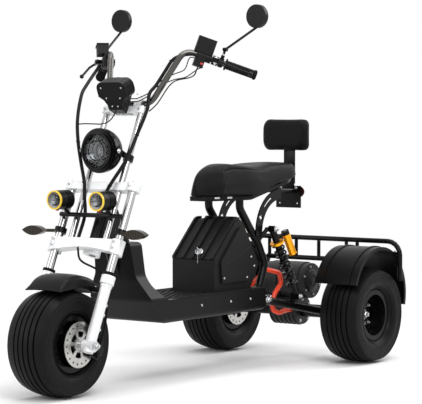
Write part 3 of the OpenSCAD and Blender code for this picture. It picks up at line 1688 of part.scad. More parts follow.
rack_hoop = [
  for (p = [[-1, rack_leg_z], [-1, rack_z], [1, rack_z], [1, rack_leg_z]])
    [at_back(rack_back), p[0] * rack_y, p[1]]
];
rack_bend_r = 60;
rack_low_y = 205;
rack_post_y = 60;

// Rear hoop with a lower rail, posts, stays and brackets
module rear_rack() {
  rail_x = at_back(rack_back);
  post_r = 8;
  tab = [26, 42, 14];
  tab_z = 455;
  tab_y = rack_y - rack_r - seat_gap - tab[1] / 2;
  stay_y = guard_in_y + rack_r;
  under_z = rack_z - rack_r - seat_gap;
  guard_mid_z = tyre_r + guard_up;
  color(black) {
    bent_tube(rack_hoop, rack_r, rack_bend_r);
    y_bar([rail_x, -rack_low_y - rack_r, rack_low_z], rack_r, 2 * (rack_low_y + rack_r));
    for (y = [-rack_low_y, -rack_post_y, rack_post_y, rack_low_y])
      rod([rail_x, y, rack_low_z], [rail_x, y, under_z], post_r);
    difference() {
      for (side = [-1, 1]) {
        rod([rail_x, side * rack_low_y, rack_low_z], [rear_axle_x, side * rack_low_y, tyre_r], post_r);
        rod([rail_x, side * stay_y, under_z], [rail_x, side * stay_y, guard_mid_z], post_r);
        block([rail_x - tab[0] / 2, side * tab_y - tab[1] / 2, tab_z], tab);
      }
      y_bar([rear_axle_x, -rack_y, tyre_r], housing_r + seat_gap, 2 * rack_y);
      for (side = [-1, 1])
        translate([rear_axle_x - guard_back, side * (guard_in_y - seat_gap), guard_mid_z])
          along_y(side)
            cylinder(r = guard_r + seat_gap, h = guard_out_y - guard_in_y + 2 * seat_gap, $fn = 96);
    }
  }
}

guard_lip = 14;

// Arched fender over each rear wheel, with lips and raised beads
module rear_fenders() {
  half_w = (guard_out_y - guard_in_y) / 2;
  bead_shares = [-0.62, 0.62];
  bead_w = 10;
  color(black) for (side = [-1, 1])
    translate([rear_axle_x - guard_back, side * (guard_in_y + guard_out_y) / 2, tyre_r + guard_up])
      rotate([90, 0, 0]) rotate([0, 0, guard_from])
        rotate_extrude(angle = guard_to - guard_from, $fn = 96) union() {
          flat([guard_r - fender_t, -half_w], [fender_t, 2 * half_w]);
          for (y = [-half_w, half_w - fender_t])
            flat([guard_r - guard_lip, y], [guard_lip, fender_t]);
          for (share = bead_shares)
            flat([guard_r - fender_t, share * half_w - bead_w / 2], [fender_t + guard_bead, bead_w]);
        }
}

front_tyre();
front_rim();
front_disc();
rear_tyre(1);  // rear_left_tyre
rear_rim(1);  // rear_left_rim
rear_disc(1);  // rear_left_disc
rear_tyre(-1);  // rear_right_tyre
rear_rim(-1);  // rear_right_rim
rear_disc(-1);  // rear_right_disc
steering_stem();
fork_clamps();
fork_stanchions();
fork_lowers();
fork_seals();
front_axle();
front_fender();
front_caliper();
headlight_bowl();
headlight_lens();
lamp_brackets();
spot_lamps();
spot_rings();
turn_signals();
handlebar();
grips();
brake_levers();
switchgear();
mirrors();
mirror_glass();
speedometer();
cables();
main_frame();
floor_body();
floor_mat();
battery_box();
battery_lid();
battery();
seat_brackets();
seat_pan();
seat();
backrest();
tail_bracket();
tail_lamp();
swingarm();
drive_unit();
rear_calipers();
shock_bodies();
shock_springs();
shock_reservoirs();
cable_conduits();
rear_rack();
rear_fenders();
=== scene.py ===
import json
import math

import bmesh
import bpy
from mathutils import Matrix, Vector


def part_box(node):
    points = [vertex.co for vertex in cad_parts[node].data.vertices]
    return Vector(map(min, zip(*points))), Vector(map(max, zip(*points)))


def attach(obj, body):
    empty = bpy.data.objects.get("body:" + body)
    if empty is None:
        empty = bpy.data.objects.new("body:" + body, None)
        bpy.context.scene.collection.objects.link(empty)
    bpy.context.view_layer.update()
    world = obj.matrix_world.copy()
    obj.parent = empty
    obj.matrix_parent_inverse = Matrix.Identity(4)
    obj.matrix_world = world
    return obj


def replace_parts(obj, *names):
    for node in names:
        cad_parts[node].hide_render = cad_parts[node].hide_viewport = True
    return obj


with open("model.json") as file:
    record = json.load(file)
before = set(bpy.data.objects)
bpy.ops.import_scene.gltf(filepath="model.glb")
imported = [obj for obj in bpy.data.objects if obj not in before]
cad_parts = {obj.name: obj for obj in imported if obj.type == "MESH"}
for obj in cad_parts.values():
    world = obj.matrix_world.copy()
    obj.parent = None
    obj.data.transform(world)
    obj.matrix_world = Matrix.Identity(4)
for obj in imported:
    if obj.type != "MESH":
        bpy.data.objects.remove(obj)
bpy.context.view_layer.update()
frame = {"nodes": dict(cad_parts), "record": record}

bl_info = {
    "name": "Three-wheeled scooter dress",
    "version": (1, 0, 0),
    "blender": (4, 5, 0),
    "location": "View3D > Sidebar > Scooter",
    "description": "Dresses the scooter's solids with finishes, cushions and hardware",
    "category": "Object",
}

# Sizes and places of the solids in millimetres; FRONT_X is the front axle's place along x
TYRE_R = 205
FRONT_X = (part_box("front_tyre")[0].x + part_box("front_tyre")[1].x) * 500
WHEELBASE = 1565
WHEEL_Y = 370
RAKE = math.radians(24.6)
FORK_Y = 150
INNER_Y = 85
LEG_R = 21
LEG_TOP = 276
LOW_CLAMP_W = 371
MID_CLAMP_TOP = 652
YOKE_TOP = 974
UP = Vector((0, 0, 1))
LEFT = Vector((0, 1, 0))
FORE = Vector((1, 0, 0))
FORK_UP = Vector((-math.sin(RAKE), 0, math.cos(RAKE)))
FORK_FORE = Vector((math.cos(RAKE), 0, math.sin(RAKE)))
MM = 0.001


def place(back, y, z):
    """A point so far behind the front axle, in metres."""
    return Vector((FRONT_X - back, y, z)) * MM


def fork_place(u, y, w):
    """A point in the fork's frame: u forwards of the legs' plane, w up the legs from the axle."""
    axle = Vector((FRONT_X, y, TYRE_R))
    return (axle + FORK_FORE * u + FORK_UP * w) * MM


def mirrored(p):
    """The same point or direction on the other side of the middle."""
    return Vector((p[0], -p[1], p[2]))


BAR_CORNER = place(543, 185, 1318)
BAR_END = place(728, 392, 1220)
BAR_ALONG = (BAR_END - BAR_CORNER).normalized()
BAR_FORE = BAR_ALONG.cross(UP).normalized()
BAR_OVER = BAR_FORE.cross(BAR_ALONG)


def bar_place(from_end, fore=0, over=0, side=1):
    """A point by the bar: so far in from its end, forwards and over its middle, in millimetres."""
    p = BAR_END - BAR_ALONG * from_end * MM + BAR_FORE * fore * MM + BAR_OVER * over * MM
    return p if side > 0 else mirrored(p)


def bar_way(way, side=1):
    """A direction by the bar, on the left or right side."""
    return way if side > 0 else mirrored(way)


def across_of(axis):
    """Two directions at right angles to an axis."""
    helper = UP if abs(axis.z) < 0.9 else FORE
    first = axis.cross(helper).normalized()
    return first, axis.cross(first).normalized()


def circle_offsets(first, second, r, count):
    """Offsets of so many points round a circle that two directions span, in metres."""
    turns = (2 * math.pi * k / count for k in range(count))
    return [(first * math.cos(t) + second * math.sin(t)) * r * MM for t in turns]


def wheel_offset(r, degrees):
    """Offset from a wheel's middle in its plane, in metres."""
    t = math.radians(degrees)
    return Vector((math.cos(t), 0, math.sin(t))) * r * MM


def face_way(degrees):
    """Direction across a lamp's face."""
    t = math.radians(degrees)
    return Vector((0, math.cos(t), math.sin(t)))


class Shape:
    """Collects the mesh of one piece, in metres; sizes are given in millimetres."""

    def __init__(self):
        self.mesh = bmesh.new()

    def loop(self, points):
        """Adds points and gives their vertices."""
        return [self.mesh.verts.new(p) for p in points]

    def bridge(self, low, high, shift=0):
        """Faces between two loops of as many points."""
        count = len(low)
        for k in range(count):
            self.mesh.faces.new((low[k], low[(k + 1) % count], high[(k + 1 + shift) % count],
                                 high[(k + shift) % count]))

    def skin(self, rows):
        """Faces between loops of points, one after another; gives their vertices."""
        loops = [self.loop(points) for points in rows]
        for low, high in zip(loops[:-1], loops[1:]):
            self.bridge(low, high)
        return loops

    def lathe(self, profile, base, axis, segments=28):
        """Turns rows of radius and height about an axis through base; a radius of 0 closes the end."""
        axis = axis.normalized()
        first, second = across_of(axis)
        rings = []
        for r, h in profile:
            middle = base + axis * h * MM
            if r == 0:
                rings.append([self.mesh.verts.new(middle)])
                continue
            rings.append(self.loop(middle + off for off in circle_offsets(first, second, r, segments)))
        for low, high in zip(rings[:-1], rings[1:]):
            for k in range(segments):
                a = low[k % len(low)], low[(k + 1) % len(low)]
                b = high[k % len(high)], high[(k + 1) % len(high)]
                corners = list(dict.fromkeys((a[0], a[1], b[1], b[0])))
                if len(corners) > 2:
                    self.mesh.faces.new(corners)
        return self

    def ring(self, middle, axis, r, wire_r, segments=48, sides=8):
        """Round wire bent to a ring."""
        path = [middle + off for off in circle_offsets(*across_of(axis.normalized()), r, segments)]
        return self.tube(path, wire_r, sides, closed=True)

    def tube(self, path, r, sides=8, closed=False):
        """Round wire through points, its section carried along without twist."""
        last = len(path) - 1
        ways = []
        for i, p in enumerate(path):
            ahead = path[(i + 1) % len(path)] if closed or i < last else p
            behind = path[i - 1] if closed or i > 0 else p
            ways.append((ahead - behind).normalized())
        first = across_of(ways[0])[0]
        rows = []
        for p, way in zip(path, ways):
            first = (first - way * first.dot(way)).normalized()
            rows.append([p + off for off in circle_offsets(first, way.cross(first), r, sides)])
        rings = self.skin(rows)
        if closed:
            end, start = rings[-1], rings[0]
            self.bridge(end, start, min(range(sides), key=lambda k: (start[k].co - end[0].co).length))
        else:
            self.mesh.faces.new(rings[0][::-1])
            self.mesh.faces.new(rings[-1])
        return self

    def block(self, middle, size, ways, bevel=1.5, steps=2):
        """Block with rounded edges; ways are its three directions."""
        verts = bmesh.ops.create_cube(self.mesh, size=1)["verts"]
        for v in verts:
            v.co = middle + sum((ways[i] * v.co[i] * size[i] * MM for i in range(3)), Vector())
        edges = list({e for v in verts for e in v.link_edges})
        bmesh.ops.bevel(self.mesh, geom=edges, offset=bevel * MM, segments=steps, affect="EDGES", profile=0.5)
        return self

    def hex_bolt(self, base, axis, r=6, h=5, washer=True, stub=0):
        """Hexagon head on a washer, with its chamfered crown and a thread's end if stub is given."""
        up = 0
        if washer:
            self.lathe([(0, 0), (1.5 * r, 0), (1.5 * r, 1.2), (1.42 * r, 1.6), (0, 1.6)], base, axis, 24)
            up = 1.6
        self.lathe([(0, up), (r, up), (r, up + 0.8 * h), (0.86 * r, up + h), (0.5 * r, up + 1.05 * h),
                    (0, up + 1.05 * h)], base, axis, 6)
        if stub:
            self.lathe([(0, up + h), (0.55 * r, up + h), (0.55 * r, up + h + stub), (0.42 * r, up + h + stub + 1),
                        (0, up + h + stub + 1)], base, axis, 16)
        return self

    def cap_screw(self, base, axis, r=5, h=5):
        """Round head with a six-sided socket."""
        self.lathe([(0, 0), (r, 0), (r, 0.85 * h), (0.88 * r, h), (0.56 * r, h)], base, axis, 24)
        self.lathe([(0.56 * r, h), (0.56 * r, 0.4 * h), (0, 0.4 * h)], base, axis, 6)
        return self

    def pan_screw(self, base, axis, r=4, h=2.2):
        """Low domed head with a round recess."""
        self.lathe([(0, 0), (r, 0), (r, 0.3 * h), (0.85 * r, 0.75 * h), (0.45 * r, h), (0.35 * r, 0.35 * h),
                    (0, 0.35 * h)], base, axis, 20)
        return self

    def piece(self, name, body, slot, finish, flat=35):
        """Makes the object, sets its finish and lets it ride on a body."""
        bmesh.ops.recalc_face_normals(self.mesh, faces=self.mesh.faces)
        data = bpy.data.meshes.new(name)
        self.mesh.to_mesh(data)
        self.mesh.free()
        obj = bpy.data.objects.new(name, data)
        bpy.context.scene.collection.objects.link(obj)
        data.materials.append(bpy.data.materials[finish])
        smooth_by_angle(data, flat)
        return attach(obj, body)

    def steel_piece(self, name, body):
        """Makes a piece of bolts, nuts or screws."""
        return self.piece(name, body, "brake_steel", "Zinc steel", 30)


def smooth_by_angle(data, degrees):
    """Smooth faces, with edges sharper than the angle kept sharp."""
    data.polygons.foreach_set("use_smooth", [True] * len(data.polygons))
    data.set_sharp_from_angle(angle=math.radians(degrees))


def join_rows(rows, at):
    """Value at a place along rows of place and value, on a smooth curve through them."""
    if at <= rows[0][0]:
        return rows[0][1]
    for i in range(len(rows) - 1):
        if at <= rows[i + 1][0]:
            before = rows[max(i - 1, 0)]
            after = rows[min(i + 2, len(rows) - 1)]
            a, b = rows[i], rows[i + 1]
            gap = b[0] - a[0]
            t = (at - a[0]) / gap
            slope_a = (b[1] - before[1]) / max(b[0] - before[0], 1e-6) * gap
            slope_b = (after[1] - a[1]) / max(after[0] - a[0], 1e-6) * gap
            return ((2 * t ** 3 - 3 * t ** 2 + 1) * a[1] + (t ** 3 - 2 * t ** 2 + t) * slope_a
                    + (3 * t ** 2 - 2 * t ** 3) * b[1] + (t ** 3 - t ** 2) * slope_b)
    return rows[-1][1]


def smooth_path(points, steps=8):
    """Points on a smooth curve through a few places."""
    along = [0.0]
    for a, b in zip(points[:-1], points[1:]):
        along.append(along[-1] + (b - a).length)
    rows = [[(at, p[axis]) for at, p in zip(along, points)] for axis in range(3)]
    count = (len(points) - 1) * steps
    return [Vector([join_rows(row, along[-1] * k / count) for row in rows]) for k in range(count + 1)]


# Settings that a user may change

class ScooterColours(bpy.types.PropertyGroup):
    """Colours of the scooter's finishes."""
    gloss_black: bpy.props.FloatVectorProperty(
        name="Gloss black", description="Powder coat of the tubes and plates", subtype="COLOR",
        default=(0.003, 0.003, 0.0032), min=0, max=1)
    moulded_black: bpy.props.FloatVectorProperty(
        name="Moulded black", description="Plastic of the fenders, floor and lamps", subtype="COLOR",
        default=(0.0042, 0.0042, 0.0043), min=0, max=1)
    charcoal: bpy.props.FloatVectorProperty(
        name="Charcoal", description="Plastic of the battery box and switches", subtype="COLOR",
        default=(0.0105, 0.0105, 0.0108), min=0, max=1)
    cast_silver: bpy.props.FloatVectorProperty(
        name="Cast silver", description="Paint of the fork's clamps and lower legs", subtype="COLOR",
        default=(0.78, 0.79, 0.8), min=0, max=1)
    ring_yellow: bpy.props.FloatVectorProperty(
        name="Ring yellow", description="Rings of the spot lamps", subtype="COLOR",
        default=(0.83, 0.55, 0.012), min=0, max=1)
    reservoir_gold: bpy.props.FloatVectorProperty(
        name="Reservoir gold", description="Anodised shock reservoirs", subtype="COLOR",
        default=(1.0, 0.42, 0.01), min=0, max=1)
    sleeve_orange: bpy.props.FloatVectorProperty(
        name="Sleeve orange", description="Sleeve of the power cable", subtype="COLOR",
        default=(0.9, 0.06, 0.012), min=0, max=1)


class ScooterSizes(bpy.types.PropertyGroup):
    """Sizes of the scooter's dress."""
    seam_depth: bpy.props.FloatProperty(
        name="Seam depth", description="Depth of the seat's sewn seams", subtype="DISTANCE", unit="LENGTH",
        default=0.0035, min=0, max=0.008)
    stitch_step: bpy.props.FloatProperty(
        name="Stitch step", description="Distance from one stitch to the next", subtype="DISTANCE",
        unit="LENGTH", default=0.009, min=0.004, max=0.02)
    stud_step: bpy.props.FloatProperty(
        name="Stud step", description="Distance from one stud of the floor mat to the next", subtype="DISTANCE",
        unit="LENGTH", default=0.026, min=0.015, max=0.05)
    pad_swell: bpy.props.FloatProperty(
        name="Pad swell", description="Furthest that a pad's cover may swell", subtype="DISTANCE", unit="LENGTH",
        default=0.0028, min=0, max=0.02)
    floor_reach: bpy.props.FloatProperty(
        name="Floor reach", description="Half the width of the floor", subtype="DISTANCE", unit="LENGTH",
        default=14, min=4, max=40)


def colours():
    return bpy.context.scene.scooter_colours


def sizes():
    return bpy.context.scene.scooter_sizes


# Finishes

def new_group(name, rough, inputs):
    """Shader node group that varies a tone and roughness and makes a height; inputs are its own sockets."""
    group = bpy.data.node_groups.new(name, "ShaderNodeTree")
    common = [("Tone", "NodeSocketColor", (0.5, 0.5, 0.5, 1)), ("Roughness", "NodeSocketFloat", rough)]
    for title, kind, value in common + inputs:
        group.interface.new_socket(name=title, in_out="INPUT", socket_type=kind).default_value = value
    for title, kind in (("Tone", "NodeSocketColor"), ("Roughness", "NodeSocketFloat"), ("Height", "NodeSocketFloat")):
        group.interface.new_socket(name=title, in_out="OUTPUT", socket_type=kind)
    where = group.nodes.new("ShaderNodeTexCoord").outputs["Object"]
    return group, group.nodes.new("NodeGroupInput").outputs, group.nodes.new("NodeGroupOutput").inputs, where


def feed(tree, socket, value):
    """Sets a number or colour on a socket, or links another socket to it."""
    if isinstance(value, bpy.types.NodeSocket):
        tree.links.new(value, socket)
    else:
        socket.default_value = value


def math_node(tree, how, a, b):
    """Result of a sum of two numbers or sockets."""
    node = tree.nodes.new("ShaderNodeMath")
    node.operation = how
    feed(tree, node.inputs[0], a)
    feed(tree, node.inputs[1], b)
    return node.outputs[0]


def ramp_value(tree, value, low, high):
    """Maps 0 to 1 onto low to high."""
    node = tree.nodes.new("ShaderNodeMapRange")
    for title, limit in (("Value", value), ("To Min", low), ("To Max", high)):
        feed(tree, node.inputs[title], limit)
    return node.outputs["Result"]


def mix_colour(tree, amount, a, b, how="MIX"):
    """Two colours mixed by an amount."""
    node = tree.nodes.new("ShaderNodeMix")
    node.data_type = "RGBA"
    node.blend_type = how
    for title, value in (("Factor", amount), ("A", a), ("B", b)):
        feed(tree, node.inputs[title], value)
    return node.outputs["Result"]


def shaded(tree, tone, level, amount=1.0):
    """A tone times a level."""
    shade = tree.nodes.new("ShaderNodeCombineColor")
    for channel in range(3):
        tree.links.new(level, shade.inputs[channel])
    return mix_colour(tree, amount, tone, shade.outputs[0], "MULTIPLY")


def noise_node(tree, where, scale, detail):
    """Cloudy pattern of 0 to 1."""
    node = tree.nodes.new("ShaderNodeTexNoise")
    for title, value in (("Vector", where), ("Scale", scale), ("Detail", detail)):
        feed(tree, node.inputs[title], value)
    return node.outputs["Fac"]


def swayed(tree, value, pattern, amount):
    """A value with a pattern of 0 to 1 laid over it, up and down."""
    offset = math_node(tree, "MULTIPLY", math_node(tree, "SUBTRACT", pattern, 0.5), amount)
    return math_node(tree, "ADD", value, offset)


def surface_group():
    """Fine grain, slow patches of tone and gloss, and dust on faces that look up."""
    group, given, out, where = new_group(
        "Handled surface", 0.4, [("Grain scale", "NodeSocketFloat", 900.0), ("Spread", "NodeSocketFloat", 0.1),
                                 ("Dust", "NodeSocketFloat", 0.1)])
    patches = noise_node(group, where, 7.0, 5.0)
    scuffs = noise_node(group, where, 55.0, 6.0)
    facing = group.nodes.new("ShaderNodeSeparateXYZ")
    group.links.new(group.nodes.new("ShaderNodeNewGeometry").outputs["Normal"], facing.inputs[0])
    upward = math_node(group, "POWER", math_node(group, "MAXIMUM", facing.outputs["Z"], 0.0), 3.0)
    dusty = math_node(group, "MULTIPLY", math_node(group, "MULTIPLY", upward, patches), given["Dust"])
    tone = shaded(group, given["Tone"], ramp_value(group, patches, 0.55, 1.35), given["Spread"])
    rough = swayed(group, given["Roughness"], scuffs, given["Spread"])
    feed(group, out["Tone"], mix_colour(group, dusty, tone, (0.32, 0.3, 0.27, 1)))
    feed(group, out["Roughness"], math_node(group, "ADD", rough, math_node(group, "MULTIPLY", dusty, 0.4)))
    feed(group, out["Height"], noise_node(group, where, given["Grain scale"], 2.0))


def leather_group():
    """Pebbled cells with creases between them; the tone is darker in the creases as painted shade and lighter on the
    crests as a painted sheen.
    """
    group, given, out, where = new_group("Pebbled cover", 0.5, [("Cell scale", "NodeSocketFloat", 700.0)])
    cells = group.nodes.new("ShaderNodeTexVoronoi")
    cells.feature = "DISTANCE_TO_EDGE"
    feed(group, cells.inputs["Vector"], where)
    feed(group, cells.inputs["Scale"], given["Cell scale"])
    crests = ramp_value(group, math_node(group, "MINIMUM", cells.outputs["Distance"], 0.3), 0.0, 3.0)
    soft = noise_node(group, where, 9.0, 4.0)
    # Painted shade in the creases and a painted sheen on the crests: the tone goes from 0.7 at the cells' edges to 1
    # on their crests, times a cloudy tone that varies at random
    level = math_node(group, "MULTIPLY", ramp_value(group, crests, 0.7, 1.0), ramp_value(group, soft, 0.75, 1.25))
    feed(group, out["Tone"], shaded(group, given["Tone"], level))
    feed(group, out["Roughness"], swayed(group, given["Roughness"], soft, 0.25))
    feed(group, out["Height"], crests)


def turned_group():
    """Fine rings left by turning or rolling, about a line through a middle along Y."""
    group, given, out, where = new_group(
        "Turned rings", 0.3, [("Middle", "NodeSocketVector", (0, 0, 0)), ("Ring scale", "NodeSocketFloat", 500.0)])
    from_middle = group.nodes.new("ShaderNodeVectorMath")
    from_middle.operation = "SUBTRACT"
    feed(group, from_middle.inputs[0], where)
    feed(group, from_middle.inputs[1], given["Middle"])
    rings = group.nodes.new("ShaderNodeTexWave")
    rings.wave_type = "RINGS"
    rings.rings_direction = "Y"
    for title, value in (("Vector", from_middle.outputs[0]), ("Scale", given["Ring scale"]), ("Distortion", 2.0),
                         ("Detail", 3.0)):
        feed(group, rings.inputs[title], value)
    stains = noise_node(group, where, 40.0, 5.0)
    feed(group, out["Tone"], shaded(group, given["Tone"], ramp_value(group, stains, 0.7, 1.2)))
    feed(group, out["Roughness"], swayed(group, given["Roughness"], stains, 0.3))
    feed(group, out["Height"], rings.outputs["Fac"])


def finish(name, group, tone, rough, values, bump, metal=0.0, coat=0.0, **constants):
    """Material whose tone, roughness and bump come from a group; bump is a strength and a depth in millimetres."""
    material = bpy.data.materials.new(name)
    material.use_nodes = True
    tree = material.node_tree
    shader = tree.nodes["Principled BSDF"]
    node = tree.nodes.new("ShaderNodeGroup")
    node.node_tree = bpy.data.node_groups[group]
    node.inputs["Tone"].default_value = (*tone, 1)
    node.inputs["Roughness"].default_value = rough
    for title, value in values.items():
        node.inputs[title].default_value = value
    tree.links.new(node.outputs["Tone"], shader.inputs["Base Color"])
    tree.links.new(node.outputs["Roughness"], shader.inputs["Roughness"])
    raised = tree.nodes.new("ShaderNodeBump")
    raised.inputs["Strength"].default_value = bump[0]
    raised.inputs["Distance"].default_value = bump[1] * MM
    tree.links.new(node.outputs["Height"], raised.inputs["Height"])
    tree.links.new(raised.outputs["Normal"], shader.inputs["Normal"])
    shader.inputs["Metallic"].default_value = metal
    shader.inputs["Coat Weight"].default_value = coat
    for title, value in constants.items():
        shader.inputs[title.replace("_", " ")].default_value = value


def handled(name, tone, rough, grain, bump, **more):
    """Finish of a handled surface; grain is its scale, spread and dust."""
    values = dict(zip(("Grain scale", "Spread", "Dust"), grain))
    finish(name, "Handled surface", tone, rough, values, bump, **more)


# CAD nodes that differ from their slot's finish
NODE_FINISHES = {
    "front_disc": "Front disc steel", "rear_left_disc": "Rear disc steel", "rear_right_disc": "Rear disc steel",
    "handlebar": "Bar chrome", "front_axle": "Zinc steel", "shock_springs": "Spring enamel",
    "drive_unit": "Drive casting", "headlight_bowl": "Lamp lacquer", "cables": "Woven sleeve",
    "speedometer": "Moulded black", "switchgear": "Charcoal plastic", "battery_lid": "Charcoal plastic",
    "main_frame": "Gloss powder coat", "fork_seals": "Soft rubber",
}
SLOT_FINISHES = {
    "tyre_rubber": "Tyre rubber", "black_rim": "Gloss powder coat", "brake_steel": "Front disc steel",
    "silver_cast": "Cast silver", "chrome_tube": "Fork chrome", "black_steel": "Gloss powder coat",
    "black_plastic": "Moulded black", "charcoal_plastic": "Charcoal plastic", "black_rubber": "Soft rubber",
    "seat_cover": "Saddle cover", "yellow_ring": "Ring yellow", "gold_metal": "Anodised gold",
    "orange_sleeve": "Orange sleeve", "smoked_lens": "Smoked lens", "red_lens": "Red lens",
    "clear_glass": "Clear glass", "mirror_face": "Mirror face",
}


class SCOOTER_OT_finishes(bpy.types.Operator):
    """Makes the finishes and puts one on each solid"""
    bl_idname = "scooter.finishes"
    bl_label = "Finishes"

    def execute(self, context):
        surface_group()
        leather_group()
        turned_group()
        c = colours()
        black = tuple(c.gloss_black)
        moulded = tuple(c.moulded_black)
        charcoal = tuple(c.charcoal)
        fine = (1400.0, 0.08, 0.02)
        tinted = (1400.0, 0.15, 0.02)
        handled("Gloss powder coat", black, 0.26, (500.0, 0.08, 0.02), (0.06, 0.3), coat=0.05, Coat_Roughness=0.08,
                Specular_IOR_Level=0.12)
        handled("Lamp lacquer", black, 0.2, fine, (0.03, 0.2), coat=0.12, Coat_Roughness=0.06,
                Specular_IOR_Level=0.12)
        handled("Moulded black", moulded, 0.34, (1100.0, 0.14, 0.01), (0.2, 0.25), Specular_IOR_Level=0.12)
        handled("Charcoal plastic", charcoal, 0.46, (900.0, 0.2, 0.01), (0.35, 0.3), Specular_IOR_Level=0.12)
        handled("Tyre rubber", (0.0042, 0.0042, 0.0043), 0.46, (420.0, 0.3, 0.01), (0.25, 0.4),
                Specular_IOR_Level=0.11)
        handled("Soft rubber", (0.004, 0.004, 0.004), 0.6, (700.0, 0.2, 0.01), (0.3, 0.3), Specular_IOR_Level=0.1)
        handled("Cast silver", tuple(c.cast_silver), 0.36, (800.0, 0.1, 0.0), (0.1, 0.25), metal=0.25, coat=0.3,
                Coat_Roughness=0.2)
        handled("Fork chrome", (0.5, 0.5, 0.5), 0.1, (260.0, 0.05, 0.0), (0.01, 0.1), metal=1.0)
        handled("Bar chrome", (0.1, 0.097, 0.09), 0.2, (260.0, 0.08, 0.0), (0.02, 0.1), metal=1.0)
        handled("Zinc steel", (0.55, 0.56, 0.57), 0.32, (600.0, 0.25, 0.0), (0.15, 0.2), metal=1.0)
        handled("Drive casting", (0.02, 0.02, 0.021), 0.4, (380.0, 0.25, 0.1), (0.35, 0.5), coat=0.05,
                Coat_Roughness=0.3, Specular_IOR_Level=0.2)
        handled("Spring enamel", black, 0.24, fine, (0.04, 0.2), coat=0.12, Coat_Roughness=0.1,
                Specular_IOR_Level=0.16)
        handled("Ring yellow", tuple(c.ring_yellow), 0.3, fine, (0.03, 0.1), coat=0.4)
        handled("Anodised gold", tuple(c.reservoir_gold), 0.3, tinted, (0.05, 0.1), metal=0.75)
        handled("Orange sleeve", tuple(c.sleeve_orange), 0.4, tinted, (0.1, 0.2))
        handled("Red plastic", (0.45, 0.012, 0.01), 0.35, fine, (0.05, 0.1), coat=0.3)
        handled("Woven sleeve", (0.0065, 0.0065, 0.0065), 0.5, (520.0, 0.3, 0.02), (0.8, 0.7),
                Specular_IOR_Level=0.12)
        handled("Dial white", (0.6, 0.6, 0.58), 0.5, fine, (0.02, 0.1))
        handled("Smoked lens", (0.02, 0.014, 0.007), 0.16, (120.0, 0.1, 0.0), (0.15, 0.4), coat=0.2,
                Coat_Roughness=0.05, Specular_IOR_Level=0.25)
        handled("Red lens", (0.03, 0.0015, 0.0015), 0.14, (120.0, 0.08, 0.0), (0.12, 0.4), coat=0.2,
                Coat_Roughness=0.05, Specular_IOR_Level=0.25)
        handled("Clear glass", (0.92, 0.95, 0.96), 0.02, (60.0, 0.02, 0.0), (0.01, 0.05), Transmission_Weight=1.0,
                IOR=1.47)
        handled("Lamp bowl", (0.12, 0.12, 0.125), 0.16, (90.0, 0.1, 0.0), (0.08, 0.3), metal=1.0)
        handled("Mirror face", (0.88, 0.89, 0.9), 0.03, (60.0, 0.02, 0.0), (0.0, 0.05), metal=1.0)
        handled("Thread", (0.006, 0.006, 0.006), 0.5, (2500.0, 0.08, 0.02), (0.5, 0.3))
        finish("Saddle cover", "Pebbled cover", (0.0038, 0.0038, 0.0036), 0.44, {"Cell scale": 620.0}, (0.3, 0.5),
               Specular_IOR_Level=0.1)
        finish("Saddle side", "Pebbled cover", (0.0095, 0.0095, 0.0092), 0.56, {"Cell scale": 520.0}, (0.35, 0.5),
               Specular_IOR_Level=0.12)
        for name, back in (("Front disc steel", 0), ("Rear disc steel", WHEELBASE)):
            values = {"Middle": place(back, 0, TYRE_R), "Ring scale": 420.0}
            finish(name, "Turned rings", (0.5, 0.49, 0.47), 0.3, values, (0.25, 0.15), metal=1.0)
        for row in frame["record"]["subparts"]:
            node = frame["nodes"][row["node"]]
            title = NODE_FINISHES.get(row["node"], SLOT_FINISHES[row["material_slot"]])
            node.data.materials.clear()
            node.data.materials.append(bpy.data.materials[title])
        return {"FINISHED"}


# Cushions

# Along the seat: place behind the front axle and height or half width there
SEAT_BASE = [(850, 727), (900, 726), (952, 725), (1080, 724), (1122, 723), (1150, 727), (1205, 742), (1257, 758),
             (1287, 768), (1380, 783), (1440, 797), (1461, 805)]
SEAT_HALF = [(850, 12), (862, 25), (880, 39), (911, 56), (952, 79), (1000, 98), (1060, 113), (1110, 122), (1200, 126),
             (1390, 125), (1440, 113), (1461, 98)]
SEAT_LIP_Y = [(850, 6), (862, 11), (880, 18), (911, 28), (952, 48), (989, 61), (1014, 68), (1037, 79), (1098, 108),
              (1145, 119), (1258, 122), (1400, 120), (1440, 106), (1461, 91)]
SEAT_LIP_Z = [(850, 764), (862, 780), (880, 796), (911, 812), (952, 816), (989, 827), (1014, 836), (1037, 839),
              (1098, 836), (1145, 831), (1200, 834), (1258, 843), (1330, 847), (1400, 848), (1440, 847), (1461, 841)]
SEAT_CROWN = [(850, 776), (862, 797), (880, 816), (911, 835), (952, 847), (1000, 855), (1040, 857), (1090, 853),
              (1145, 847), (1200, 847), (1280, 852), (1397, 856), (1440, 855), (1461, 847)]
SEAT_FRONT = SEAT_BASE[0][0]
SEAT_REAR = SEAT_BASE[-1][0]
SEAM_BACK = 952
SEAM_LEAN = 37
SEAM_END = 1452
SEAM_STEPS = 40
HEM_FRONT = 872
HEM_REAR = 1448
HEM_NOSE = 854
HEM_STEPS = 50
SEAT_STATIONS = 62
BASE_POINTS = 3
SIDE_POINTS = 9
TOP_POINTS = 9
CLOTH_FRAMES = 20
SEAT_VOXEL = 0.0055
SEAM_WIDTH = 0.008
STITCH_OFF = 0.007
PAD_HALF_W = 117
PAD_LOW = 906
PAD_HIGH = 1045
PAD_VOXEL = 0.005
PAD_SEAM_WIDTH = 0.006


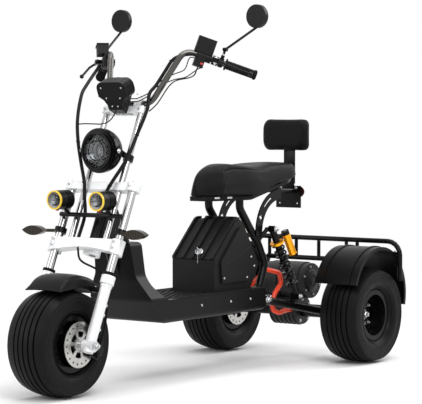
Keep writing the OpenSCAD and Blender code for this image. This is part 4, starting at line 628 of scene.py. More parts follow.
def seat_section(back):
    """Half section of the seat, from the middle of its base out, up its side and over to the crown."""
    base = join_rows(SEAT_BASE, back)
    half = join_rows(SEAT_HALF, back)
    lip_y = join_rows(SEAT_LIP_Y, back)
    lip_z = join_rows(SEAT_LIP_Z, back)
    crown = join_rows(SEAT_CROWN, back)
    points = [(0, base), (0.45 * half, base), (0.86 * half, base)]
    for k in range(SIDE_POINTS):
        t = k / (SIDE_POINTS - 1)
        bulge = 0.035 * half * math.sin(math.pi * t)
        points.append((half + (lip_y - half) * t + bulge, base + (lip_z - base) * (0.04 + 0.96 * t)))
    for k in range(1, TOP_POINTS + 1):
        t = math.pi / 2 * k / TOP_POINTS
        points.append((lip_y * math.cos(t), lip_z + (crown - lip_z) * math.sin(t) ** 0.9))
    return points


def loft(sections):
    """Closed mesh through half sections mirrored across the middle; each is a place behind and its points."""
    shape = Shape()
    rows = []
    for back, half in sections:
        left = [place(back, y, z) for y, z in half]
        rows.append(left + [mirrored(p) for p in left[-2:0:-1]])
    loops = shape.skin(rows)
    shape.mesh.faces.new(loops[0])
    shape.mesh.faces.new(loops[-1][::-1])
    return shape


def use_only(obj):
    """Makes an object the one that is selected and active."""
    bpy.ops.object.select_all(action="DESELECT")
    obj.select_set(True)
    bpy.context.view_layer.objects.active = obj


def stuff(obj, swell, voxel):
    """Remeshes a pad and lets its cover swell under pressure, no further than swell."""
    use_only(obj)
    remesh = obj.modifiers.new("Even mesh", "REMESH")
    remesh.mode = "VOXEL"
    remesh.voxel_size = voxel
    bpy.ops.object.modifier_apply(modifier=remesh.name)
    start = [v.co.copy() for v in obj.data.vertices]
    cloth = obj.modifiers.new("Cover", "CLOTH")
    cloth.settings.use_pressure = True
    cloth.settings.uniform_pressure_force = 4
    cloth.settings.tension_stiffness = 12
    cloth.settings.compression_stiffness = 12
    cloth.settings.bending_stiffness = 0.6
    cloth.settings.effector_weights.gravity = 0
    cloth.point_cache.frame_start = 1
    cloth.point_cache.frame_end = CLOTH_FRAMES
    for step in range(CLOTH_FRAMES):
        bpy.context.scene.frame_set(step + 1)
    bpy.ops.object.modifier_apply(modifier=cloth.name)
    bpy.context.scene.frame_set(1)
    for v, p in zip(obj.data.vertices, start):
        move = v.co - p
        if move.length > swell:
            v.co = p + move.normalized() * swell
    relax = obj.modifiers.new("Relax", "SMOOTH")
    relax.factor = 0.5
    relax.iterations = 4
    bpy.ops.object.modifier_apply(modifier=relax.name)


def soften(pad):
    """Smooth faces, and a finer mesh over them."""
    pad.data.polygons.foreach_set("use_smooth", [True] * len(pad.data.polygons))
    pad.modifiers.new("Fine", "SUBSURF").levels = 1


def nearest_on(path, p):
    """Distance from p to a line of points, counted on its stretches."""
    best = 1e9
    for a, b in zip(path[:-1], path[1:]):
        run = b - a
        t = max(0.0, min(1.0, (p - a).dot(run) / max(run.length_squared, 1e-12)))
        best = min(best, (a + run * t - p).length)
    return best


def press_seams(obj, paths, depth, width):
    """Draws the cover in along seams."""
    normals = [v.normal.copy() for v in obj.data.vertices]
    for v, n in zip(obj.data.vertices, normals):
        for path, low, high in paths:
            if all(low[i] - width <= v.co[i] <= high[i] + width for i in range(3)):
                gap = nearest_on(path, v.co)
                if gap < width:
                    v.co -= n * depth * (0.5 + 0.5 * math.cos(math.pi * gap / width))


def with_box(path):
    """A path with its lowest and highest corners."""
    low = [min(p[i] for p in path) for i in range(3)]
    high = [max(p[i] for p in path) for i in range(3)]
    return path, low, high


def drop_on(obj, path, off):
    """Moves points onto a piece's surface and off it by so much."""
    out = []
    for p in path:
        found, at, normal, _ = obj.closest_point_on_mesh(p)
        out.append(at + normal * off if found else p)
    return out


def stitches(shape, path, step, r=0.75):
    """Short threads laid along a path, one after another."""
    length = 0.0
    start = path[0]
    points = []
    for a, b in zip(path[:-1], path[1:]):
        run = (b - a).length
        while length + run >= step:
            t = (step - length) / run
            a = a + (b - a) * t
            run = (b - a).length
            points.append(a.copy())
            length = 0.0
        length += run
    for a, b in zip([start] + points[:-1], points):
        way = b - a
        shape.tube([a + way * 0.18, a + way * 0.5, a + way * 0.82], r, 6)


class SCOOTER_OT_seat(bpy.types.Operator):
    """Stuffs the saddle, sews its seams and colours its side panels"""
    bl_idname = "scooter.seat"
    bl_label = "Saddle"

    def execute(self, context):
        backs = [SEAT_FRONT + (SEAT_REAR - SEAT_FRONT) * k / (SEAT_STATIONS - 1) for k in range(SEAT_STATIONS)]
        shape = loft([(back, seat_section(back)) for back in backs])
        obj = shape.piece("saddle_cushion", "chassis", "seat_cover", "Saddle cover", 180)
        obj.parent = None
        stuff(obj, sizes().pad_swell, SEAT_VOXEL)
        obj.data.materials.append(bpy.data.materials["Saddle side"])
        climb = SIDE_POINTS - 1
        corner = SEAM_BACK + SEAM_LEAN
        # Place behind the front axle and point of the section: up the side, then along the lip
        spots = [(SEAM_BACK + SEAM_LEAN * k / climb, BASE_POINTS + k) for k in range(climb)]
        spots += [(corner + (SEAM_END - corner) * k / SEAM_STEPS, BASE_POINTS + climb) for k in range(SEAM_STEPS + 1)]
        seam = [place(back, *seat_section(back)[point]) for back, point in spots]
        seams = [drop_on(obj, path, 0) for path in (seam, [mirrored(p) for p in seam])]
        press_seams(obj, [with_box(p) for p in seams], sizes().seam_depth, SEAM_WIDTH)
        for polygon in obj.data.polygons:
            middle = polygon.center / MM
            back = FRONT_X - middle.x
            base = join_rows(SEAT_BASE, back)
            share = (middle.z - base) / (join_rows(SEAT_LIP_Z, back) - base)
            panel = back > SEAM_BACK + SEAM_LEAN * share and share < 0.99 and abs(polygon.normal.y) > 0.3
            polygon.material_index = 1 if panel else 0
        soften(obj)
        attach(obj, "chassis")
        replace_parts(obj, "seat")
        thread = Shape()
        for path in seams:
            low = [p - (UP if i > climb else FORE) * STITCH_OFF for i, p in enumerate(path)]
            stitches(thread, drop_on(obj, low, 0.0006), sizes().stitch_step)
        thread.piece("saddle_stitches", "chassis", "seat_cover", "Thread", 180)
        welt = Shape()
        hem_backs = [HEM_FRONT + (HEM_REAR - HEM_FRONT) * k / HEM_STEPS for k in range(HEM_STEPS + 1)]
        left = [place(back, *seat_section(back)[BASE_POINTS]) + UP * 6 * MM for back in hem_backs]
        nose = place(HEM_NOSE, 0, left[0].z / MM)
        hem = left[::-1] + [nose] + [mirrored(p) for p in left]
        welt.tube(drop_on(obj, hem, 0.0005), 2.2, 8)
        welt.piece("saddle_hem", "chassis", "seat_cover", "Saddle cover", 180)
        return {"FINISHED"}


class SCOOTER_OT_backrest(bpy.types.Operator):
    """Stuffs the backrest's pad and makes its welt and flat post"""
    bl_idname = "scooter.backrest"
    bl_label = "Backrest"

    def outline(self, inset, corner, points=12):
        """Rounded rectangle in the pad's plane, drawn in by inset: y and z."""
        half_w, low, high = PAD_HALF_W - inset, PAD_LOW + inset, PAD_HIGH - inset
        out = []
        for cy, cz, turn in ((half_w - corner, high - corner, 0), (corner - half_w, high - corner, 90),
                             (corner - half_w, low + corner, 180), (half_w - corner, low + corner, 270)):
            for k in range(points):
                t = math.radians(turn + 90 * k / (points - 1))
                out.append((cy + corner * math.cos(t), cz + corner * math.sin(t)))
        return out

    def execute(self, context):
        shape = Shape()
        # Place behind the front axle, inset and corner radius
        rows = [(1511, 24, 38), (1513, 10, 44), (1518, 3, 42), (1528, 0, 34), (1545, 0, 24), (1551, 4, 18),
                (1553, 20, 12)]
        loops = shape.skin([[place(back, y, z) for y, z in self.outline(inset, corner)]
                            for back, inset, corner in rows])
        shape.mesh.faces.new(loops[0][::-1])
        shape.mesh.faces.new(loops[-1])
        pad = shape.piece("backrest_pad", "chassis", "seat_cover", "Saddle cover", 180)
        pad.parent = None
        stuff(pad, 0.9 * sizes().pad_swell, PAD_VOXEL)
        seam = [place(1543, y, z) for y, z in self.outline(0, 25, 16)]
        seam = drop_on(pad, seam + [seam[0]], 0)
        press_seams(pad, [with_box(seam)], 0.7 * sizes().seam_depth, PAD_SEAM_WIDTH)
        soften(pad)
        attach(pad, "chassis")
        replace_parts(pad, "backrest")
        welt = Shape()
        welt.tube(drop_on(pad, seam[:-1], -0.0004), 2, 8, closed=True)
        welt.piece("backrest_welt", "chassis", "seat_cover", "Saddle cover", 180)
        post = Shape()
        post.block(place(1560, 0, 862), (7.6, 58, 204), (FORE, LEFT, UP), 2.5, 3)
        post.block(place(1556.5, 0, 962), (5, 120, 70), (FORE, LEFT, UP), 2, 2)
        for z in (775, 792):
            for y in (-17, 17):
                post.hex_bolt(place(1564, y, z), -FORE, 5, 4)
        post.piece("backrest_post", "chassis", "black_steel", "Gloss powder coat")
        return {"FINISHED"}


# Wheels

class SCOOTER_OT_wheels(bpy.types.Operator):
    """Adds the tyres' side rings, the wheel nuts, valves and disc bolts"""
    bl_idname = "scooter.wheels"
    bl_label = "Wheels"

    def tyre_trim(self, name, body, y):
        """Raised rings on both sides of a tyre."""
        middle = place(WHEELBASE if "rear" in name else 0, y, TYRE_R)
        shape = Shape()
        for side in (1, -1):
            for r, out, wire in ((122, 80.4, 1.8), (128, 83.2, 1.2), (166, 89.7, 1.1), (180, 89.8, 1.4)):
                shape.ring(middle + LEFT * side * out * MM, LEFT, r, wire, 96, 6)
        shape.piece(name, body, "tyre_rubber", "Tyre rubber", 60)

    def execute(self, context):
        self.tyre_trim("front_tyre_rings", "front_wheel", 0)
        self.tyre_trim("rear_left_tyre_rings", "rear_left_wheel", WHEEL_Y)
        self.tyre_trim("rear_right_tyre_rings", "rear_right_wheel", -WHEEL_Y)
        for side, word in ((1, "left"), (-1, "right")):
            body = f"rear_{word}_wheel"
            out = LEFT * side
            hub = place(WHEELBASE, WHEEL_Y * side, TYRE_R)
            nuts = Shape()
            for k in range(4):
                nuts.hex_bolt(hub + wheel_offset(53, 45 + 90 * k) + out * 1 * MM, out, 9, 11, True, 6)
            nuts.hex_bolt(hub + out * 15 * MM, out, 15, 12, True, 8)
            nuts.steel_piece(f"rear_{word}_wheel_nuts", body)
            valve = Shape()
            foot = hub + Vector((0, 0, -80)) * MM + out * 16 * MM
            valve.lathe([(0, 0), (6, 0), (6, 5), (4, 8), (3.6, 22), (4.2, 22.5), (4.2, 33), (3, 35), (0, 35)], foot,
                        (out + UP * 0.25).normalized(), 14)
            valve.piece(f"rear_{word}_valve", body, "black_rubber", "Soft rubber", 40)
        axle = place(0, 0, TYRE_R)
        bolts = Shape()
        for k in range(6):
            bolts.cap_screw(axle + wheel_offset(24, 30 + 60 * k) + LEFT * 102 * MM, LEFT, 5, 4.5)
        bolts.steel_piece("front_disc_bolts", "front_wheel")
        valve = Shape()
        valve.lathe([(0, 0), (6, 0), (6, 5), (4, 8), (3.6, 20), (4.2, 20.5), (4.2, 30), (3, 32), (0, 32)],
                    axle + Vector((0, -3.6, -74)) * MM, -LEFT, 14)
        valve.piece("front_valve", "front_wheel", "black_rubber", "Soft rubber", 40)
        return {"FINISHED"}


# Fork

class SCOOTER_OT_fork_hardware(bpy.types.Operator):
    """Bolts the fork's clamps, legs and caliper, and rings the lower legs"""
    bl_idname = "scooter.fork_hardware"
    bl_label = "Fork hardware"

    def execute(self, context):
        bolts = Shape()
        for side in (1, -1):
            y = FORK_Y * side
            for w in (12, 36):
                bolts.cap_screw(fork_place(28, y, LOW_CLAMP_W + w), FORK_FORE, 5.5, 6)
            bolts.cap_screw(fork_place(28, y, MID_CLAMP_TOP - 16), FORK_FORE, 5, 5)
            bolts.cap_screw(fork_place(20, INNER_Y * side, YOKE_TOP - 13), FORK_FORE, 4.5, 5)
            bolts.lathe([(0, 0), (14.5, 0), (14.5, 5), (13, 7), (6, 7), (6, 5), (0, 5)],
                        fork_place(0, y, MID_CLAMP_TOP), FORK_UP, 32)
            bolts.hex_bolt(fork_place(0, y, MID_CLAMP_TOP + 5), FORK_UP, 6, 4, False)
            bolts.lathe([(0, 0), (11.5, 0), (11.5, 4), (10, 6), (0, 6)], fork_place(0, INNER_Y * side, YOKE_TOP),
                        FORK_UP, 28)
            for u in (-13, 13):
                bolts.cap_screw(fork_place(u, 52 * side, YOKE_TOP + 52), FORK_UP, 4.2, 5)
        for share in (0.26, 0.47, 0.61):
            bolts.hex_bolt(fork_place(-25.5, FORK_Y, share * LEG_TOP), LEFT, 6.5, 5.5, True, 2)
        for w in (-13, 12):
            bolts.hex_bolt(fork_place(-21, 156, w + 2), -FORK_FORE, 5, 4.5)
        bolts.hex_bolt(fork_place(0, 182, 0), LEFT, 11, 9, True, 5)
        bolts.steel_piece("fork_bolts", "steering")
        rings = Shape()
        for side in (1, -1):
            for w in (LEG_TOP - 30, LEG_TOP - 4):
                rings.ring(fork_place(0, FORK_Y * side, w), FORK_UP, 27, 0.9, 48, 6)
            rings.lathe([(LEG_R, 0), (LEG_R + 2.4, 1), (LEG_R + 2.4, 7), (LEG_R, 9)],
                        fork_place(0, FORK_Y * side, LEG_TOP - 44), FORK_UP, 40)
        rings.piece("leg_rings", "steering", "silver_cast", "Cast silver", 40)
        caliper = Shape()
        for u, w in ((-92, 30), (-92, -14)):
            caliper.hex_bolt(fork_place(u, 120.6, w), LEFT, 5.5, 5)
        caliper.lathe([(0, 0), (21, 0), (21, 3), (17, 6), (17, 9), (0, 9)], fork_place(-81.5, 133.6, 9), LEFT, 36)
        caliper.tube([fork_place(-84, 128, 36), fork_place(-85, 129, 46), fork_place(-84.5, 128.5, 54)], 5.5, 10)
        caliper.piece("caliper_bolts", "steering", "black_steel", "Gloss powder coat", 35)
        return {"FINISHED"}


# Front fender

# Along the fender, in degrees up from straight ahead of the axle: distance from the axle to its crown and to
# its skirts' edge
CROWN_R = [(67, 228), (72, 239), (79, 252), (88, 260), (98, 263), (138, 263)]
SKIRT_R = [(67, 224), (71, 218), (76, 213), (82, 211), (138, 211)]
FENDER_HALF_W = 88
FENDER_T = 4
FENDER_CORNER_R = 20
FENDER_ARCH = 4
FENDER_STATIONS = 40


class SCOOTER_OT_front_fender(bpy.types.Operator):
    """Draws the front fender's bill down over the tyre and rolls its front edge"""
    bl_idname = "scooter.front_fender"
    bl_label = "Front fender"

    def section(self, turn, thick):
        """Points across the shell at an angle, from one skirt's edge to the other, drawn in by thick."""
        crown, low = join_rows(CROWN_R, turn) - thick, join_rows(SKIRT_R, turn)
        half = FENDER_HALF_W - thick
        corner = min(FENDER_CORNER_R, max(crown - low, 1) * 0.8)
        edge = crown - FENDER_ARCH
        flat = [(half, low), (half, low + (edge - corner - low) * 0.5)]
        for k in range(7):
            t = math.pi / 2 * k / 6
            flat.append((half - corner * (1 - math.cos(t)), edge - corner * (1 - math.sin(t))))
        flat += [(half * share, crown - FENDER_ARCH * share * share) for share in (0.55, 0.28)]
        rows = flat + [(0, crown)] + [(-y, r) for y, r in flat[::-1]]
        return [place(0, y, TYRE_R) + wheel_offset(r, turn) for y, r in rows]

    def execute(self, context):
        shape = Shape()
        front, rear = CROWN_R[0][0], CROWN_R[-1][0]
        turns = [front + (rear - front) * k / FENDER_STATIONS for k in range(FENDER_STATIONS + 1)]
        loops = shape.skin([self.section(turn, 0) + self.section(turn, FENDER_T)[::-1] for turn in turns])
        for loop in (loops[0], loops[-1]):
            for k in range(len(loop) // 2 - 1):
                shape.mesh.faces.new((loop[k], loop[k + 1], loop[-2 - k], loop[-1 - k]))
        shape.tube(self.section(turns[0], FENDER_T / 2), 3, 8)
        for side in (1, -1):
            shape.block(fork_place(0, 108 * side, 220), (24, 44, 18), (FORK_FORE, LEFT, FORK_UP), 3, 3)
        shell = shape.piece("front_fender_shell", "steering", "black_plastic", "Moulded black", 40)
        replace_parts(shell, "front_fender")
        screws = Shape()
        for side in (1, -1):
            screws.cap_screw(fork_place(0, 100 * side, 229), FORK_UP, 4.5, 4)
        screws.steel_piece("fender_screws", "steering")
        return {"FINISHED"}


# Lamps

SPOT_Y = 104
SPOT_Z = 738
SIGNAL_W = 110
SIGNAL_H = 38
TAIL_LAMP_Z = 726
TAIL_LAMP_R = 22


class SCOOTER_OT_headlight(bpy.types.Operator):
    """Puts a reflector, projector and guard in the headlight"""
    bl_idname = "scooter.headlight"
    bl_label = "Headlight"

    def execute(self, context):
        base = place(248, 0, 926)
        bowl = Shape()
        bowl.lathe([(64.5, 7), (60, 0), (52, -10), (44, -18), (36, -23), (30, -25), (30, -12), (29, -10), (27, -12),
                    (27, -40), (0, -40)], base, FORE, 64)
        bowl.piece("headlight_reflector", "steering", "chrome_tube", "Lamp bowl", 40)
        eye = Shape()
        eye.lathe([(26.5, -14), (26, -9), (23.5, -3), (18.5, 2), (11, 5.5), (0, 7)], base, FORE, 48)
        eye.lathe([(26.5, -14), (0, -14)], base, FORE, 48)
        eye.piece("headlight_projector", "steering", "clear_glass", "Clear glass", 60)
        core = Shape()
        core.lathe([(0, -16), (20, -16), (20, -20), (9, -22), (9, -32), (0, -32)], base, FORE, 32)
        core.piece("headlight_bulb_seat", "steering", "black_plastic", "Lamp lacquer", 40)
        guard = Shape()
        front = base + FORE * 22 * MM
        guard.ring(front, FORE, 62, 2.2, 64, 8)
        guard.ring(front + FORE * 2 * MM, FORE, 38, 1.8, 56, 8)
        for k in range(6):
            way = face_way(60 * k + 15)
            guard.tube([front + way * 38 * MM + FORE * 2 * MM, front + way * 52 * MM + FORE * 1.5 * MM,
                        front + way * 66 * MM - FORE * 2 * MM], 1.7, 8)
        for step, r in ((27, 66.5), (18, 73.5), (9, 80.5)):
            guard.ring(base + FORE * (step - 0.8) * MM, FORE, r, 1.0, 80, 6)
        guard.piece("headlight_guard", "steering", "black_plastic", "Lamp lacquer", 60)
        screws = Shape()
        for side in (1, -1):
            screws.hex_bolt(base + LEFT * side * 92.1 * MM, LEFT * side, 6, 5)
        screws.steel_piece("headlight_bolts", "steering")
        return {"FINISHED"}


class SCOOTER_OT_spot_lamps(bpy.types.Operator):
    """Puts a reflector and a lens in each spot lamp, with its bracket's bolts"""
    bl_idname = "scooter.spot_lamps"
    bl_label = "Spot lamps"

    def execute(self, context):
        cups, lenses, bolts, caps = Shape(), Shape(), Shape(), Shape()
        for side in (1, -1):
            face = place(98.5, SPOT_Y * side, SPOT_Z)
            cups.lathe([(31, 0.1), (30.5, 2.0), (27, 0.9), (23, 0.4), (0, 0.3)], face, FORE, 48)
            lenses.lathe([(22.5, 0.5), (22, 3.5), (19, 7.5), (13, 10.5), (6, 12), (0, 12.4)], face, FORE, 40)
            lenses.lathe([(22.5, 0.5), (0, 0.5)], face, FORE, 40)
            for k in range(3):
                spot = place(96, SPOT_Y * side, SPOT_Z) + face_way(90 + 120 * k) * 33.8 * MM
                bolts.pan_screw(spot, FORE, 1.9, 1.2)
            bolts.hex_bolt(place(146, SPOT_Y * side, SPOT_Z - 36.5), -UP, 5, 4)
            caps.lathe([(0, 0), (7, 0), (7, 3), (5.5, 4.5), (0, 4.5)], place(115, SPOT_Y * side, SPOT_Z - 37),
                       -UP, 20)
        cups.piece("spot_reflectors", "steering", "chrome_tube", "Lamp bowl", 40)
        lenses.piece("spot_lenses", "steering", "clear_glass", "Clear glass", 60)
        bolts.steel_piece("spot_bolts", "steering")
        caps.piece("spot_drain_plugs", "steering", "red_lens", "Red plastic", 40)
        return {"FINISHED"}


class SCOOTER_OT_signals(bpy.types.Operator):
    """Adds the turn signals' lens ribs and the tail lamp's frame"""
    bl_idname = "scooter.signals"
    bl_label = "Signals and tail lamp"

    def execute(self, context):
        ribs = Shape()
        arc_r = (SIGNAL_W ** 2 + SIGNAL_H ** 2) / (4 * SIGNAL_H)
        for side in (1, -1):
            for face in (-1, 1):
                for k in range(-4, 5):
                    y = 11 * k
                    half = math.sqrt(arc_r ** 2 - y ** 2) - (arc_r - SIGNAL_H / 2) - 2
                    middle = place(150, (250 + y) * side, 615) + FORE * face * 13.2 * MM
                    ribs.tube([middle - UP * half * MM, middle, middle + UP * half * MM], 0.8, 6)
        ribs.piece("signal_ribs", "steering", "smoked_lens", "Smoked lens", 60)
        frame_ring = Shape()
        path = []
        for cy, turn in ((56, -90), (-56, 90)):
            for k in range(13):
                t = math.radians(turn + 180 * k / 12)
                path.append(place(1556.6, cy + TAIL_LAMP_R * math.cos(t), TAIL_LAMP_Z + TAIL_LAMP_R * math.sin(t)))
        frame_ring.tube(path, 2, 8, closed=True)
        for y in (-30, 0, 30):
            middle = place(1556.1, y, TAIL_LAMP_Z)
            arc = [middle + wheel_offset(TAIL_LAMP_R + 0.2, 180 - a) for a in range(-84, 85, 12)]
            frame_ring.tube(arc, 0.9, 6)
        frame_ring.piece("tail_lamp_frame", "chassis", "black_plastic", "Moulded black", 50)
        nuts = Shape()
        for y in (-40, 40):
            nuts.hex_bolt(place(1550, y, 742), FORE, 5, 4)
        nuts.steel_piece("tail_plate_nuts", "chassis")
        return {"FINISHED"}


# Controls

class SCOOTER_OT_grips(bpy.types.Operator):
    """Ribs the grips and caps their ends"""
    bl_idname = "scooter.grips"
    bl_label = "Grips"

    def execute(self, context):
        shape = Shape()
        for side in (1, -1):
            along = bar_way(BAR_ALONG, side)
            for k in range(20):
                shape.ring(bar_place(112 - 5.2 * k, side=side), along, 17.1, 1.1, 32, 6)
            shape.lathe([(17, -6), (20, -4.5), (20.5, 0), (19, 3.5), (12, 6), (0, 6.6)], bar_place(0, side=side),
                        along, 32)
            for off in circle_offsets(*across_of(along), 22.2, 12):
                shape.tube([bar_place(124.5, side=side) + off, bar_place(119.5, side=side) + off], 1.2, 6)
        shape.piece("grip_ribs", "steering", "black_rubber", "Soft rubber", 45)
        return {"FINISHED"}


class SCOOTER_OT_controls(bpy.types.Operator):
    """Adds the levers' pivots, buttons, display face, tank cap and clamp screws"""
    bl_idname = "scooter.controls"
    bl_label = "Controls"

    def execute(self, context):
        bolts, buttons, red, face, caps, boots = Shape(), Shape(), Shape(), Shape(), Shape(), Shape()
        for side in (1, -1):
            fore, along, over = (bar_way(w, side) for w in (BAR_FORE, BAR_ALONG, BAR_OVER))
            ways = (fore, along, over)
            bolts.hex_bolt(bar_place(167, 36, 9, side), over, 6, 4.5)
            bolts.hex_bolt(bar_place(167, 36, -9, side), -over, 6, 4.5, True, 3)
            for off in (-6, 6):
                bolts.cap_screw(bar_place(167 + off, 16, 10.5, side), over, 3, 3)
            for at in (190, 238):
                bolts.pan_screw(bar_place(at, -18.9, 0, side), -fore, 3.2, 2)
            bolts.hex_bolt(bar_place(143, 0, 30, side), over, 6.5, 6, False)
            boots.lathe([(0, 0), (7.5, 0), (6.5, 10), (4.5, 26), (3.2, 30), (0, 30)], bar_place(176, 40, 0, side),
                        (-along + fore * 0.3 - over * 0.4).normalized(), 16)
            buttons.block(bar_place(212, -23, -22, side), (6, 14, 9), ways, 1.5, 3)
            buttons.block(bar_place(228, -23, -16, side), (5, 9, 12), ways, 1.5, 3)
        left = (BAR_FORE, BAR_ALONG, BAR_OVER)
        red.block(bar_place(214, 23.5, -30), (5, 12, 8), left, 1.8, 3)
        red.block(bar_place(206, -22.5, -36), (4, 8, 8), left, 1.4, 3)
        face.block(bar_place(220, -18.2, 43), (1.6, 64, 46), left, 1.0, 2)
        for k in range(6):
            caps.block(bar_place(196 + 10 * k, 0, 73.6), (30, 3, 1.6), left, 0.6, 2)
        tank = [bar_way(way, -1) for way in left]
        caps.block(bar_place(222, 22, 53.5, -1), (46, 48, 5), tank, 1.8, 3)
        for fore in (6, 38):
            bolts.pan_screw(bar_place(222, fore, 56, -1), tank[2], 3, 1.8)
        window = Shape()
        window.lathe([(0, 0), (8.5, 0), (8.5, 2), (7, 2.6), (0, 2.6)], bar_place(222, 44, 32, -1), tank[0], 24)
        window.piece("tank_window", "steering", "clear_glass", "Smoked lens", 40)
        bolts.steel_piece("control_bolts", "steering")
        buttons.piece("switch_buttons", "steering", "black_plastic", "Moulded black", 40)
        red.piece("switch_red_buttons", "steering", "red_lens", "Red plastic", 40)
        face.piece("display_face", "steering", "black_plastic", "Lamp lacquer", 40)
        caps.piece("control_caps", "steering", "black_plastic", "Moulded black", 40)
        boots.piece("lever_boots", "steering", "black_rubber", "Soft rubber", 40)
        return {"FINISHED"}


class SCOOTER_OT_dial(bpy.types.Operator):
    """Gives the speedometer its screws, bezel, dial marks and glass"""
    bl_idname = "scooter.dial"
    bl_label = "Speedometer"

    def execute(self, context):
        tilt = math.radians(21.2)
        fore = Vector((math.cos(tilt), 0, -math.sin(tilt)))
        up = Vector((math.sin(tilt), 0, math.cos(tilt)))
        foot = place(345, 0, 1085)

        def pod(x, y, z):
            return foot + (fore * x + LEFT * y + up * z) * MM

        screws = Shape()
        for y, z in ((-14, 12), (14, 12), (-50, 88), (50, 88), (-34, 46), (34, 46)):
            screws.pan_screw(pod(0, y, z), fore, 3.6, 2)
        screws.steel_piece("speedometer_screws", "steering")
        rim = Shape()
        rim.lathe([(46, 0), (46, 3), (44, 5), (41.5, 4), (41, 1.2), (0, 1.2)], pod(-56, 0, 66), -fore, 56)
        lip = ((-70.6, 50), (-70.6, 84), (-64, 101), (-44, 110.6), (0, 110.8), (44, 110.6), (64, 101), (70.6, 84),
               (70.6, 50))
        rim.tube([pod(-1.5, y, z) for y, z in lip], 1.6, 8)
        rim.piece("speedometer_bezel", "steering", "black_plastic", "Lamp lacquer", 40)
        marks = Shape()
        for k in range(11):
            t = math.radians(-30 + 24 * k)
            way = LEFT * math.cos(t) + up * math.sin(t)
            size = (0.6, 7 if k % 2 == 0 else 4, 1.4)
            marks.block(pod(-57.5, 0, 66) + way * 33 * MM, size, (fore, way, fore.cross(way)), 0.2, 1)
        way = LEFT * 0.6 + up * 0.8
        marks.block(pod(-57.7, 0, 66) + way * 14 * MM, (0.8, 30, 1.6), (fore, way, fore.cross(way)), 0.3, 1)
        marks.piece("speedometer_marks", "steering", "mirror_face", "Dial white", 30)
        glass = Shape()
        glass.lathe([(41, 2.2), (41, 3.4), (30, 4.4), (15, 5), (0, 5.2)], pod(-56, 0, 66), -fore, 48)
        glass.lathe([(41, 2.2), (0, 2.2)], pod(-56, 0, 66), -fore, 48)
        glass.piece("speedometer_glass", "steering", "clear_glass", "Clear glass", 60)
        leads = Shape()
        for drop in (0, 12):
            route = [pod(-38, 56, 30 - drop), pod(-44, 80, 28 - drop), fork_place(6, 105, 1036 - drop)]
            leads.tube(smooth_path(route), 2.2, 8)
        low_lead = ((103, -127, 857), (84, -108, 868), (60, -80, 878), (48, -50, 884), (44, -22, 900), (48, -4, 926),
                    (50, 0, 948))
        leads.tube(smooth_path([fork_place(*p) for p in low_lead]), 2.4, 8)
        leads.piece("speedometer_leads", "steering", "black_rubber", "Woven sleeve", 60)
        return {"FINISHED"}


# Body

MAT_FRONT = 518
MAT_REAR = 830
MAT_HALF_W = 115
MAT_TOP = 336.1
STUD_RUN = 290
STUD_SPAN = 210
PANEL_Y = 118
RAIL_Y = 146
RAIL_TOP = 339
RESERVOIR_OFF = 62


class SCOOTER_OT_floor_mat(bpy.types.Operator):
    """Studs the floor mat and screws it down"""
    bl_idname = "scooter.floor_mat"
    bl_label = "Floor mat"

    def execute(self, context):
        shape = Shape()
        step = sizes().stud_step / MM
        rows = int(STUD_RUN / step)
        cols = int(STUD_SPAN / step)
        for i in range(rows + 1):
            for j in range(cols + 1 - i % 2):
                back = (MAT_FRONT + MAT_REAR) / 2 + (i - rows / 2) * step
                y = (j - (cols - i % 2) / 2) * step
                shape.lathe([(7, 0), (6.6, 1.2), (5, 2.1), (0, 2.4)], place(back, y, MAT_TOP), UP, 10)
        edge = [place(back, y * MAT_HALF_W, MAT_TOP)
                for back, y in ((MAT_FRONT, -1), (MAT_FRONT, 1), (MAT_REAR, 1), (MAT_REAR, -1))]
        for a, b in zip(edge, edge[1:] + edge[:1]):
            shape.tube([a, (a + b) / 2, b], 2.2, 8)
        shape.piece("floor_mat_studs", "chassis", "black_rubber", "Soft rubber", 50)
        screws = Shape()
        for back in (700, 900, 1040):
            for side in (1, -1):
                screws.pan_screw(place(back, 155 * side, 300), LEFT * side, 5, 2.6)
        screws.steel_piece("floor_side_screws", "chassis")
        return {"FINISHED"}


